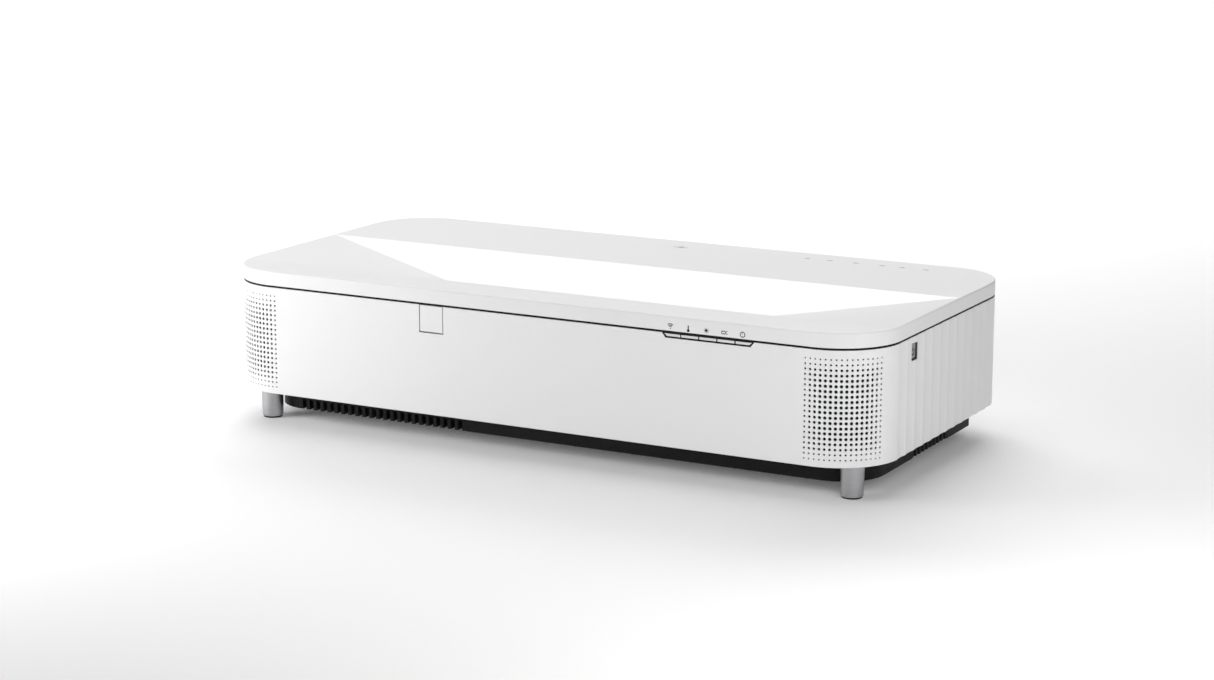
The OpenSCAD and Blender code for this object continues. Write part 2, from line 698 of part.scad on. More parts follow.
module tilted_plate(x, y, turn) translate([x, y, 0]) rotate([0, 0, turn])
    block(-18, 18, -0.8, 0.8, tray_z0 + 3, tray_z1 - 4);

module dichroic_mirrors() color([0.6, 0.75, 0.85, 0.7]) {
    tilted_plate(-210, 92, -45);
    tilted_plate(-210, 42, -45);
    tilted_plate(-210, -8, -45);
}

module lcd_panels() color(dark_grey) {
    block(-228, -224, lens_y - 15, lens_y + 15, 68, 106);
    block(-222, -188, lens_y - 21, lens_y - 18, 68, 106);
    block(-222, -188, lens_y + 18, lens_y + 21, 68, 106);
}

module prism_cube() color(glass_tint) {
    block(-221, -189, lens_y - 16, lens_y + 16, 72, 104);
    block(-219, -191, lens_y - 32, lens_y + 32, 66, 67.9);
    block(-221, -189, lens_y - 16, lens_y + 16, 67.8, 72);
}

// ---- Projection lens and mirrors ----

module lens_barrel() color(black) difference() {
    union() {
        rod_x(-160, -60, lens_y, lens_z, barrel_r);
        rod_x(-62, -10, lens_y, lens_z, barrel_r + 4);
    }
    rod_x(-161, -9, lens_y, lens_z, barrel_r - 3);
    rod_x(-24, -9, lens_y, lens_z, barrel_r + 1);
}

module lens_elements() color(glass_tint) {
    rod_x(-158, -150, lens_y, lens_z, barrel_r - 3.1);
    rod_x(-50, -42, lens_y, lens_z, barrel_r - 3.1);
    rod_x(-22, -14, lens_y, lens_z, barrel_r + 0.9);
    for (y = [67, 17, -28]) rod_y(-210, y - 3, y + 3, lens_z - 4, 15);
}

module lens_brackets() color(metal) for (x = [-148, -74]) difference() {
    union() {
        block(x, x + 7, lens_y - 34, lens_y + 34, chassis_z, lens_z);
        rod_x(x, x + 7, lens_y, lens_z, barrel_r + 5);
    }
    rod_x(x - 1, x + 8, lens_y, lens_z, barrel_r + 0.02);
}

module focus_ring() color(dark_grey) difference() {
    reach = [lever_tip[0] - lens_y, lever_tip[1] - lens_z];
    union() {
        rod_x(focus_x - 7, focus_x + 7, lens_y, lens_z, barrel_r + 5);
        translate([focus_x, lens_y, lens_z]) rotate([atan2(reach[1], reach[0]), 0, 0])
            block(-3, 3, barrel_r, norm(reach), -3, 3);
    }
    rod_x(focus_x - 8, focus_x + 8, lens_y, lens_z, barrel_r + 0.05);
}

module focus_lens_group() color(glass_tint) rod_x(focus_x - 14, focus_x + 14, lens_y, lens_z, barrel_r - 3.05);

module fold_mirror() color([0.8, 0.82, 0.85]) translate([window_x, lens_y, 0]) rotate([0, 0, 45]) {
    block(-32, 32, 0, 4, 54, 122);
    block(-26, 26, 3.5, 16, chassis_z, 60);
}

module concave_mirror() color([0.85, 0.87, 0.9]) intersection() {
    difference() {
        translate(mirror_centre) sphere(mirror_r + 2, $fn = 96);
        translate(mirror_centre) sphere(mirror_r - 2, $fn = 96);
    }
    block(window_x - 65, window_x + 65, -160, -98, 50, 124);
}

module mirror_holder() color(black) difference() {
    union() {
        block(window_x - 72, window_x + 72, -160, -108.5, flange_z, 42);
        for (s = [-1, 1]) translate([window_x + s * 68.6, 0, 0]) block(-3.4, 3.4, -160, -108.5, 41, 118);
        block(window_x - 72, window_x + 72, -163, -157, flange_z, 118);
    }
    translate([60, -111, flange_z - 1]) cylinder(h = 20, r = 5);
    translate(mirror_centre) sphere(mirror_r + 2.2, $fn = 96);
}

// ---- Electronics ----

module main_board() color(board_green) difference() {
    union() {
        block(20, 284, 62, 154, board_z - 1.6, board_z);
        for (x = [28, 120, 276], y = [70, 100]) translate([x, y, chassis_z])
            cylinder(h = board_z - chassis_z, r = 3);
        block(60, 100, 80, 120, board_z - 0.1, board_z + 4);
        for (i = [0 : 8]) block(60, 100, 80 + i * 4.8, 81.6 + i * 4.8, board_z + 3.9, board_z + 16);
        for (x = [120, 150, 180, 210]) block(x, x + 14, 74, 88, board_z - 0.1, board_z + 1.6);
        for (x = [30, 42]) translate([x, 130, board_z - 0.1]) cylinder(h = 14, r = 4.5);
        block(240, 270, 70, 82, board_z - 0.1, board_z + 10);
    }
    translate([100, 113, board_z - 3]) cylinder(h = 5, r = 3);
}

module psu_board() color([0.55, 0.42, 0.2]) {
    block(124, 234, -98, 46, 47, 48.6);
    for (x = [130, 228], y = [-92, 40]) translate([x, y, chassis_z]) cylinder(h = 10, r = 3);
    block(140, 178, -60, -24, 48.5, 84);
    block(196, 226, -20, 8, 48.5, 76);
    for (y = [-78, -50]) translate([205, y, 48.5]) cylinder(h = 44, r = 12);
    block(130, 134, -10, 36, 48.5, 92);
    for (i = [0 : 5]) block(133.8, 144, -10 + i * 9, -8 + i * 9, 48.5, 92);
    for (x = [160, 178]) translate([x, 26, 48.5]) cylinder(h = 26, r = 7);
}

top_cover();
seam_gasket();
main_housing();
base_tub();
chassis_plate();
base_screws();
speaker_grille_left();
speaker_grille_right();
speaker_boxes();
speaker_drivers();
speaker_cone_left();
speaker_cone_right();
window_frame();
exit_window();
focus_door();
door_hinge_pin();
status_bezel();
status_lenses();
led_board();
power_button();
button_guide();
io_panel();
hdmi_sockets();
usb_socket();
audio_socket();
ac_inlet();
filter_drawer();
air_filter();
exhaust_grille();
front_foot_left();
front_foot_right();
foot_pad_left();
foot_pad_right();
foot_inserts();
rear_feet();
rear_foot_pads();
intake_fan_frame();
intake_fan_rotor();
exhaust_blower_case();
exhaust_blower_rotor();
laser_fan_frame();
laser_fan_rotor();
laser_block();
laser_heatsink();
phosphor_motor();
phosphor_wheel();
optics_frame();
dichroic_mirrors();
lcd_panels();
prism_cube();
lens_barrel();
lens_elements();
lens_brackets();
focus_ring();
focus_lens_group();
fold_mirror();
concave_mirror();
mirror_holder();
main_board();
psu_board();
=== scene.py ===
import json
import math

import bmesh
import bpy
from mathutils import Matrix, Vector

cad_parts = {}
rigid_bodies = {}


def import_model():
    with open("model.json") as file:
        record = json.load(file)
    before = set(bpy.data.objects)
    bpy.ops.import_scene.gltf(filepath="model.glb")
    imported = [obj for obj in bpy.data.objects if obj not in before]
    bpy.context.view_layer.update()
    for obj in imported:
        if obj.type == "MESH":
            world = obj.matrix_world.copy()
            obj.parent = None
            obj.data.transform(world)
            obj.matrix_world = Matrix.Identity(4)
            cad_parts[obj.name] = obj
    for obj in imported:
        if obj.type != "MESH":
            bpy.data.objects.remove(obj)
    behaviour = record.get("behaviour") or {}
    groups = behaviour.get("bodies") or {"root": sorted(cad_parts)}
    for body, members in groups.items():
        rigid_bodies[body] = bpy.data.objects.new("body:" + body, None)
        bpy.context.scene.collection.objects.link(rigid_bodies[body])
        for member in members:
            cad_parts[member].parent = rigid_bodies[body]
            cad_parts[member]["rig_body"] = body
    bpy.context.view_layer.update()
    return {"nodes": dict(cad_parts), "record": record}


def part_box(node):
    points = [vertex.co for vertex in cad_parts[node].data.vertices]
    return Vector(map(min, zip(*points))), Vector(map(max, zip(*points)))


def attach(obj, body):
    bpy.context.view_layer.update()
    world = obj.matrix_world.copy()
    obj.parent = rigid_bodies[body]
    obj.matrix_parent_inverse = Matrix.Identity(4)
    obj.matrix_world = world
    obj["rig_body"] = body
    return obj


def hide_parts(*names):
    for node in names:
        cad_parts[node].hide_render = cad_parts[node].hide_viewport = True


# The look of the home projector. Each piece is made in millimetres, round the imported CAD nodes.

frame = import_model()
SLOT_OF = {part["node"]: part["material_slot"] for part in frame["record"]["subparts"]}
BODY_OF = {name: node["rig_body"] for name, node in frame["nodes"].items()}

MM = 0.001


def box_of(node):
    """The lowest and highest corner of a CAD node, in millimetres"""
    return [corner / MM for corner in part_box(node)]


def middle_of(node):
    """The middle of a CAD node in plan, in millimetres"""
    lo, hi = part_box(node)
    return (lo.x + hi.x) / 2 / MM, (lo.y + hi.y) / 2 / MM


# ---- Sizes, in millimetres; the outer ones come from the frame ----

COVER_HI = box_of("top_cover")[1]
HOUSING_LO, HOUSING_HI = box_of("main_housing")
GASKET_HI = box_of("seam_gasket")[1]
HALF_W = HOUSING_HI.x
HALF_D = HOUSING_HI.y
HOUSING_Z0 = HOUSING_LO.z
SEAM_Z = HOUSING_HI.z
COVER_Z0 = GASKET_HI.z - 3  # the gasket's tongue reaches 3 mm up into the cover
TOP_Z = COVER_HI.z
WALL = 3
CORNER_R = 60
CORNER_X = HALF_W - CORNER_R
CORNER_Y = HALF_D - CORNER_R
PRINT = 0.04  # thickness of a printed icon, and how far the cover stays below the CAD surface

RIM_Y = -HALF_D + 45.5  # rear edge of the level rim
RIDGE_Y = 30  # where the recess's floor meets the flat rear
FLOOR_FALL = 0.15  # millimetres down for each millimetre forwards
CREASE_Y = -120  # the creases between the floor and the side facets cross this y at the two x
CREASE_LEFT_X = -36
CREASE_RIGHT_X = 117
CREASE_DROP = (RIDGE_Y - CREASE_Y) * FLOOR_FALL
LEFT_FALL = CREASE_DROP / (HALF_W + CREASE_LEFT_X)
RIGHT_FALL = CREASE_DROP / (HALF_W - CREASE_RIGHT_X)
WINDOW_X, WINDOW_Y = 40, -96
WINDOW_HOLE = (134, 49.4)
COVER_EDGE_R = 1.3
RIM_BEVEL = 0.9

FLUTE_PITCH = 19.5
FLUTE_CHORD = 19
FLUTE_DEPTH = 0.9
FLUTE_COUNT = 12
FLUTE_Y0 = -113.25  # front edge of the first flute
FLUTE_STEPS = 12
FLUTE_R = ((FLUTE_CHORD / 2) ** 2 + FLUTE_DEPTH ** 2) / (2 * FLUTE_DEPTH)

PERF_PITCH = 4.76
PERF_COLUMNS = 16
PERF_ROWS = 20
PERF_X0 = 282.3  # the column nearest the middle of the front
PERF_Z0 = 40.5  # the lowest row
GRILLE_X0 = PERF_X0 - 3
GRILLE_Z0 = PERF_Z0 - 3.2
GRILLE_Z1 = PERF_Z0 + (PERF_ROWS - 1) * PERF_PITCH + 3
# The panel's far edge, measured along the wall from where the corner starts
GRILLE_END = PERF_X0 - CORNER_X + (PERF_COLUMNS - 1) * PERF_PITCH + CORNER_R * math.radians(3)
GRILLE_DEPTH = 1.2
HOLE_R = 1.52
HOLE_STEPS = 16
PERF_SIDE_R = (1.05, 1.28, 1.42)  # columns, from the side of the pattern inwards
PERF_END_R = (0.8, 0.95, 1.23, 1.36, 1.48)  # rows, from the end of the pattern inwards

FLANGE_HALF_W = 285  # the opening inside the housing's flange
FLANGE_HALF_D = 100
FRONT_FEET = [middle_of(f"front_foot_{side}") for side in ("left", "right")]
REAR_FEET = [(-280, 150), (280, 150)]
TUB_SCREWS = [(-302, -95), (302, -95), (-302, 95), (302, 95), (-100, 113), (100, 113), (60, -111)]

DOOR_GAP = 0.4
DOOR_INSET = 0.3  # how much narrower the visible door is than the CAD door, on each side
BEZEL_SLOPE = 3.5  # how far the status bezel's ends lean in
BUTTON_GAP = 1.1
BUTTON_PRINT = 0.02  # thickness of the power icon
PORT_XS = (141.5, 166, 194, 222, 243, 268)
PORT_MARKS_Y = HALF_D - 28
ICON_LINE = 0.75

ARC_STEPS = 48


# ---- Materials ----

def node_of(tree, kind, **inputs):
    """A shader node with some of its inputs set"""
    node = tree.nodes.new(kind)
    for name, value in inputs.items():
        node.inputs[name.replace("_", " ")].default_value = value
    return node


def blank(name, colour, roughness, **sockets):
    """A material with a Principled shader whose even values sit on its own sockets"""
    mat = bpy.data.materials.new(name)
    mat.use_nodes = True
    tree = mat.node_tree
    shader = tree.nodes["Principled BSDF"]
    shader.inputs["Base Color"].default_value = (*colour, 1)
    shader.inputs["Roughness"].default_value = roughness
    for key, value in sockets.items():
        shader.inputs[key.replace("_", " ")].default_value = value
    return mat, tree, shader


def stretched(tree, scale):
    """Object coordinates, stretched along some axes"""
    place = tree.nodes.new("ShaderNodeTexCoord")
    mapping = tree.nodes.new("ShaderNodeMapping")
    mapping.inputs["Scale"].default_value = scale
    tree.links.new(place.outputs["Object"], mapping.inputs["Vector"])
    return mapping.outputs["Vector"]


def noise(tree, vector, scale, detail=2.0, rough=0.5):
    """A noise factor from 0 to 1"""
    made = node_of(tree, "ShaderNodeTexNoise", Scale=scale, Detail=detail, Roughness=rough)
    tree.links.new(vector, made.inputs["Vector"])
    return made.outputs["Fac"]


def spread(tree, factor, low, high, start=0.3, end=0.7):
    """Turns a factor into a value from low to high, or a colour from one to the other"""
    ramp = tree.nodes.new("ShaderNodeValToRGB")
    first, last = ramp.color_ramp.elements
    first.position, last.position = start, end
    first.color = (*low, 1) if isinstance(low, tuple) else (low, low, low, 1)
    last.color = (*high, 1) if isinstance(high, tuple) else (high, high, high, 1)
    tree.links.new(factor, ramp.inputs["Fac"])
    return ramp.outputs["Color"]


def bumped(tree, shader, height, distance):
    """Adds a height to the shader's normal; distance is in metres"""
    bump = node_of(tree, "ShaderNodeBump", Strength=1.0, Distance=distance)
    tree.links.new(height, bump.inputs["Height"])
    tree.links.new(bump.outputs["Normal"], shader.inputs["Normal"])


def moulded_plastic(name, colour, roughness, grain=1400, depth=0.00002, vary=0.02, gloss=0.03, **sockets):
    """Moulded plastic: a fine spark-eroded grain, with a little drift in tone and gloss"""
    mat, tree, shader = blank(name, colour, roughness, **sockets)
    place = stretched(tree, (1, 1, 1))
    tone = spread(tree, noise(tree, place, 9, 3),
                  tuple(c * (1 - vary) for c in colour), tuple(min(1, c * (1 + vary)) for c in colour))
    tree.links.new(tone, shader.inputs["Base Color"])
    drift = spread(tree, noise(tree, place, 60, 4), roughness - gloss, roughness + gloss)
    tree.links.new(drift, shader.inputs["Roughness"])
    bumped(tree, shader, noise(tree, place, grain, 3, 0.6), depth)
    return mat


def worked_metal(name, colour, roughness, scale, lines, depth=0.00001):
    """Metal with fine lines; scale is small along the lines and large across them"""
    mat, tree, shader = blank(name, colour, roughness, Metallic=1.0)
    place = stretched(tree, scale)
    streaks = noise(tree, place, lines, 4, 0.7)
    tone = spread(tree, streaks, tuple(c * 0.93 for c in colour), tuple(min(1, c * 1.05) for c in colour))
    tree.links.new(tone, shader.inputs["Base Color"])
    tree.links.new(spread(tree, streaks, roughness - 0.02, roughness + 0.1), shader.inputs["Roughness"])
    bumped(tree, shader, streaks, depth)
    return mat


def cast_metal(name, colour, roughness):
    """Die-cast alloy with a sandy skin and blotches of tone"""
    mat, tree, shader = blank(name, colour, roughness, Metallic=1.0)
    place = stretched(tree, (1, 1, 1))
    tone = spread(tree, noise(tree, place, 35, 5), tuple(c * 0.85 for c in colour), colour)
    tree.links.new(tone, shader.inputs["Base Color"])
    bumped(tree, shader, noise(tree, place, 900, 4, 0.7), 0.00012)
    return mat


def coated_glass(name, colour, film, weight=1.0):
    """Clear glass under an anti-reflection or dichroic film, with faint dust in its gloss"""
    mat, tree, shader = blank(name, colour, 0.02, IOR=1.5, Transmission_Weight=weight)
    shader.inputs["Thin Film Thickness"].default_value = film
    shader.inputs["Thin Film IOR"].default_value = 1.38
    place = stretched(tree, (1, 1, 1))
    tree.links.new(spread(tree, noise(tree, place, 120, 5), 0.01, 0.05), shader.inputs["Roughness"])
    return mat


def silvered(name, colour):
    """A front-silvered mirror, with the slight unevenness of its coating"""
    mat, tree, shader = blank(name, colour, 0.03, Metallic=1.0)
    place = stretched(tree, (1, 1, 1))
    tree.links.new(spread(tree, noise(tree, place, 40, 4), 0.015, 0.05), shader.inputs["Roughness"])
    bumped(tree, shader, noise(tree, place, 15, 1), 0.00001)
    return mat


def rubber(name, colour):
    """Matte rubber with a coarse grain and dusty high spots"""
    mat, tree, shader = blank(name, colour, 0.8, Specular_IOR_Level=0.3)
    place = stretched(tree, (1, 1, 1))
    dust = spread(tree, noise(tree, place, 220, 5, 0.7), colour, tuple(c * 2.4 for c in colour), 0.5, 0.75)
    tree.links.new(dust, shader.inputs["Base Color"])
    bumped(tree, shader, noise(tree, place, 700, 4, 0.7), 0.0001)
    return mat


def woven(name, dark, light, threads, depth):
    """Cloth with crossing threads; threads is the number in a metre"""
    mat, tree, shader = blank(name, light, 0.85, Sheen_Weight=0.3)
    waves = []
    for direction in ("X", "Z"):
        wave = tree.nodes.new("ShaderNodeTexWave")
        wave.bands_direction = direction
        wave.inputs["Scale"].default_value = threads / 20
        wave.inputs["Distortion"].default_value = 0.6
        tree.links.new(stretched(tree, (1, 1, 1)), wave.inputs["Vector"])
        waves.append(wave.outputs["Fac"])
    cross = tree.nodes.new("ShaderNodeMath")
    cross.operation = "MULTIPLY"
    tree.links.new(waves[0], cross.inputs[0])
    tree.links.new(waves[1], cross.inputs[1])
    tree.links.new(spread(tree, cross.outputs[0], dark, light, 0.0, 0.8), shader.inputs["Base Color"])
    bumped(tree, shader, cross.outputs[0], depth)
    return mat


def printed_board(name, resist, copper, pads):
    """A circuit board: solder resist over copper tracks, with tinned pads"""
    mat, tree, shader = blank(name, resist, 0.35, Coat_Weight=0.4)
    place = stretched(tree, (1, 1, 1))
    tracks = tree.nodes.new("ShaderNodeTexBrick")
    tracks.inputs["Scale"].default_value = 160
    tracks.inputs["Mortar Size"].default_value = 0.05
    tracks.inputs["Color1"].default_value = (*resist, 1)
    tracks.inputs["Color2"].default_value = (*(c * 0.8 for c in resist), 1)
    tracks.inputs["Mortar"].default_value = (*copper, 1)
    tree.links.new(place, tracks.inputs["Vector"])
    dots = node_of(tree, "ShaderNodeTexVoronoi", Scale=260.0, Randomness=0.35)
    tree.links.new(place, dots.inputs["Vector"])
    spot = spread(tree, dots.outputs["Distance"], 1.0, 0.0, 0.13, 0.16)
    mix = tree.nodes.new("ShaderNodeMix")
    mix.data_type = "RGBA"
    tree.links.new(spot, mix.inputs["Factor"])
    tree.links.new(tracks.outputs["Color"], mix.inputs["A"])
    mix.inputs["B"].default_value = (*pads, 1)
    tree.links.new(mix.outputs["Result"], shader.inputs["Base Color"])
    tree.links.new(spot, shader.inputs["Metallic"])
    bumped(tree, shader, tracks.outputs["Fac"], 0.00004)
    return mat


def ceramic(name, low, high):
    """The phosphor coat: a pressed powder with fine grains"""
    mat, tree, shader = blank(name, high, 0.6)
    place = stretched(tree, (1, 1, 1))
    grains = noise(tree, place, 1800, 4, 0.8)
    tree.links.new(spread(tree, grains, low, high), shader.inputs["Base Color"])
    bumped(tree, shader, grains, 0.00005)
    return mat


def make_materials():
    """One material for each slot of the record"""
    return {
        "white_shell": moulded_plastic("white_shell", (0.86, 0.86, 0.86), 0.3, 1800, 0.000003,
                                       vary=0.003, gloss=0.012),
        "black_plastic": moulded_plastic("black_plastic", (0.006, 0.006, 0.0065), 0.55, 1100, 0.00003,
                                         Specular_IOR_Level=0.2),
        "dark_plastic": moulded_plastic("dark_plastic", (0.045, 0.045, 0.05), 0.5, 1100, 0.00004),
        "grey_plastic": moulded_plastic("grey_plastic", (0.85, 0.86, 0.86), 0.22,
                                        Transmission_Weight=0.15, Coat_Weight=0.5),
        "button_plastic": moulded_plastic("button_plastic", (0.33, 0.33, 0.34), 0.38),
        "window_glass": coated_glass("window_glass", (0.93, 0.97, 1.0), 110.0),
        "lens_glass": coated_glass("lens_glass", (0.9, 0.96, 1.0), 250.0),
        "mirror_glass": silvered("mirror_glass", (0.88, 0.9, 0.92)),
        "dichroic_glass": coated_glass("dichroic_glass", (0.95, 0.75, 0.4), 380.0, 0.8),
        "foot_metal": worked_metal("foot_metal", (0.46, 0.46, 0.47), 0.3, (0.02, 0.02, 1), 1500, 0.00002),
        "sheet_metal": worked_metal("sheet_metal", (0.55, 0.55, 0.57), 0.35, (0.05, 1, 1), 700),
        "cast_alloy": cast_metal("cast_alloy", (0.5, 0.51, 0.52), 0.5),
        "fin_alloy": worked_metal("fin_alloy", (0.72, 0.73, 0.74), 0.3, (1, 0.05, 0.05), 500),
        "socket_metal": worked_metal("socket_metal", (0.66, 0.65, 0.62), 0.3, (1, 0.1, 1), 800),
        "screw_steel": worked_metal("screw_steel", (0.5, 0.5, 0.5), 0.3, (1, 1, 1), 1200),
        "brass_insert": worked_metal("brass_insert", (0.72, 0.5, 0.2), 0.3, (1, 1, 0.1), 900),
        "foot_rubber": rubber("foot_rubber", (0.012, 0.012, 0.012)),
        "cone_fabric": woven("cone_fabric", (0.008, 0.008, 0.009), (0.05, 0.05, 0.055), 1600, 0.0001),
        "filter_fabric": woven("filter_fabric", (0.42, 0.42, 0.4), (0.75, 0.75, 0.71), 900, 0.0002),
        "circuit_board": printed_board("circuit_board", (0.01, 0.12, 0.05), (0.05, 0.2, 0.1),
                                       (0.75, 0.72, 0.6)),
        "power_board": printed_board("power_board", (0.3, 0.19, 0.07), (0.2, 0.12, 0.04), (0.7, 0.7, 0.68)),
        "phosphor": ceramic("phosphor", (0.75, 0.5, 0.03), (0.9, 0.7, 0.1)),
        "icon_ink": moulded_plastic("icon_ink", (0.012, 0.012, 0.013), 0.6, Specular_IOR_Level=0.2),
    }


# ---- Mesh helpers, all in millimetres ----

def object_of(name, bm):
    """An object that holds the mesh"""
    mesh = bpy.data.meshes.new(name)
    bm.to_mesh(mesh)
    bm.free()
    obj = bpy.data.objects.new(name, mesh)
    bpy.context.scene.collection.objects.link(obj)
    return obj


def combine(bm, other, operation):
    """The union or difference of two closed meshes"""
    for mesh in (bm, other):
        bmesh.ops.recalc_face_normals(mesh, faces=mesh.faces)
    keep, tool = object_of("keep", bm), object_of("tool", other)
    modifier = keep.modifiers.new("combine", "BOOLEAN")
    modifier.operation = operation
    modifier.solver = "EXACT"
    modifier.object = tool
    made = bpy.data.meshes.new_from_object(keep.evaluated_get(bpy.context.evaluated_depsgraph_get()))
    result = bmesh.new()
    result.from_mesh(made)
    for obj in (keep, tool):
        mesh = obj.data
        bpy.data.objects.remove(obj)
        bpy.data.meshes.remove(mesh)
    bpy.data.meshes.remove(made)
    return result


def piece(name, bm, node, sharp=35, replaces=True, slot=None):
    """Makes a mesh in millimetres into a piece that rides with a CAD node and, by default, replaces it

    Edges turned by more than sharp degrees stay crisp, and so do those that were marked before.
    """
    bmesh.ops.scale(bm, vec=(MM, MM, MM), verts=bm.verts)
    bmesh.ops.recalc_face_normals(bm, faces=bm.faces)
    for face in bm.faces:
        face.smooth = True
    for edge in bm.edges:
        if edge.calc_face_angle(0) > math.radians(sharp):
            edge.smooth = False
    obj = object_of(name, bm)
    chosen = slot or SLOT_OF[node]
    obj.data.materials.append(MATERIALS[chosen])
    even_normals(obj)
    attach(obj, BODY_OF[node])
    if replaces:
        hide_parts(node)
    return obj


def even_normals(obj):
    """Keeps flat faces flat beside rounded edges"""
    modifier = obj.modifiers.new("even_normals", "WEIGHTED_NORMAL")
    modifier.keep_sharp = True


def ring(bm, points):
    """New vertices at the points"""
    return [bm.verts.new(p) for p in points]


def bridge(bm, low, high):
    """Faces between two closed rings of the same length"""
    for i, vert in enumerate(low):
        after = (i + 1) % len(low)
        bm.faces.new((vert, low[after], high[after], high[i]))


def prism(bm, points, low, high, place):
    """A closed prism: an outline in (u, v), pushed from low to high along w; place gives (x, y, z)"""
    rings = [ring(bm, [place(u, v, w) for u, v in points]) for w in (low, high)]
    bm.faces.new(rings[0][::-1])
    bm.faces.new(rings[1])
    bridge(bm, *rings)


def upright(u, v, w):
    """Places a prism whose length runs along z"""
    return (u, v, w)


def along_x(u, v, w):
    """Places a prism whose length runs along x, with its outline in (y, z)"""
    return (w, u, v)


def along_y(u, v, w):
    """Places a prism whose length runs along y, with its outline in (x, z)"""
    return (u, w, v)


def box(bm, x0, x1, y0, y1, z0, z1):
    """A closed box"""
    prism(bm, [(x0, y0), (x1, y0), (x1, y1), (x0, y1)], z0, z1, upright)


def circle(x, y, r, steps=48, start=0.0, end=360.0):
    """Points round a circle, or along part of it"""
    full = abs(end - start) >= 360
    count = steps if full else steps + 1
    return [(x + r * math.cos(math.radians(start + (end - start) * i / steps)),
             y + r * math.sin(math.radians(start + (end - start) * i / steps))) for i in range(count)]


def round_rect(x0, x1, y0, y1, r, steps=8):
    """Outline of a rectangle with rounded corners"""
    return (circle(x1 - r, y0 + r, r, steps, -90, 0) + circle(x1 - r, y1 - r, r, steps, 0, 90)
            + circle(x0 + r, y1 - r, r, steps, 90, 180) + circle(x0 + r, y0 + r, r, steps, 180, 270))


def lathe(bm, profile, x, y, steps=96):
    """Turns (radius, height) points about an upright axis, and closes both ends"""
    rings = [ring(bm, [(px, py, z) for px, py in circle(x, y, r, steps)]) for r, z in profile]
    bm.faces.new(rings[0][::-1])
    bm.faces.new(rings[-1])
    for low, high in zip(rings, rings[1:]):
        bridge(bm, low, high)


def mirror(bm):
    """Turns a piece for the right side into the one for the left"""
    bmesh.ops.scale(bm, vec=(-1, 1, 1), verts=bm.verts)
    bmesh.ops.reverse_faces(bm, faces=bm.faces)


def both_sides(points):
    """Closes a loop given for the right side with its mirror image on the left"""
    return points + [(-p[0], *p[1:]) for p in reversed(points)]


# ---- Top cover ----

def cover_loop(inset, rim_y):
    """Round the cover in plan, with a point at the rim's rear edge and one at the ridge"""
    r = CORNER_R - inset
    at_rim = math.degrees(math.asin((rim_y + CORNER_Y) / r))
    right = circle(CORNER_X, -CORNER_Y, r, ARC_STEPS, -90, at_rim)
    right += circle(CORNER_X, -CORNER_Y, r, ARC_STEPS // 4, at_rim, 0)[1:]
    right += [(HALF_W - inset, RIDGE_Y)]
    right += circle(CORNER_X, CORNER_Y, r, ARC_STEPS, 0, 90)
    return both_sides(right)


def recess_fall(x, y, rim_y):
    """How far the surface lies below the rim"""
    if y <= rim_y + 1e-6 or y >= RIDGE_Y:
        return 0
    return max(0, min((RIDGE_Y - y) * FLOOR_FALL, (x + HALF_W) * LEFT_FALL, (HALF_W - x) * RIGHT_FALL))


def cover_top(bm, loop, rim_y, z):
    """The rim, the recess with its window hole, and the flat rear, inside a loop of vertices at z

    Returns the hole's vertices, the faces, and the two ends of the rim's rear edge.
    """
    at_rim = ARC_STEPS
    at_ridge = ARC_STEPS + ARC_STEPS // 4 + 1
    last = len(loop) - 1
    floor_at_rim = (RIDGE_Y - rim_y) * FLOOR_FALL
    crease_left = bm.verts.new((-HALF_W + floor_at_rim / LEFT_FALL, rim_y, z - floor_at_rim))
    crease_right = bm.verts.new((HALF_W - floor_at_rim / RIGHT_FALL, rim_y, z - floor_at_rim))
    half_w, half_d = WINDOW_HOLE[0] / 2, WINDOW_HOLE[1] / 2
    hole = ring(bm, [(WINDOW_X + sx * half_w, WINDOW_Y + sy * half_d,
                      z - (RIDGE_Y - WINDOW_Y - sy * half_d) * FLOOR_FALL)
                     for sx, sy in ((-1, -1), (1, -1), (1, 1), (-1, 1))])
    corners = [crease_left, crease_right, loop[at_ridge], loop[last - at_ridge]]
    faces = [bm.faces.new(loop[last - at_rim:] + loop[:at_rim + 1]),
             bm.faces.new(loop[at_ridge:last - at_ridge + 1]),
             bm.faces.new([crease_right] + loop[at_rim:at_ridge + 1]),
             bm.faces.new([crease_left] + loop[last - at_ridge:last - at_rim + 1]),
             bm.faces.new([loop[at_rim], crease_right, crease_left, loop[last - at_rim]])]
    faces += [bm.faces.new((corners[i], corners[(i + 1) % 4], hole[(i + 1) % 4], hole[i]))
              for i in range(4)]
    return hole, faces, (loop[at_rim], loop[last - at_rim])


def cover_skirt(bm, top):
    """The outside of the cover from its lower edge up to the rounded upper edge, ring by ring"""
    rings = []
    for inset, z in ((0.2, COVER_Z0), (0.06, COVER_Z0 + 0.06), (0, COVER_Z0 + 0.2)):
        rings.append(ring(bm, [(x, y, z) for x, y in cover_loop(inset + PRINT, RIM_Y)]))
    for angle in (0, 22.5, 45, 67.5, 90):
        inset = COVER_EDGE_R * (1 - math.cos(math.radians(angle)))
        drop = -COVER_EDGE_R * (1 - math.sin(math.radians(angle)))
        rings.append(ring(bm, [(x, y, top - recess_fall(x, y, RIM_Y) + drop)
                               for x, y in cover_loop(inset + PRINT, RIM_Y)]))
    for low, high in zip(rings, rings[1:]):
        bridge(bm, low, high)
    return rings


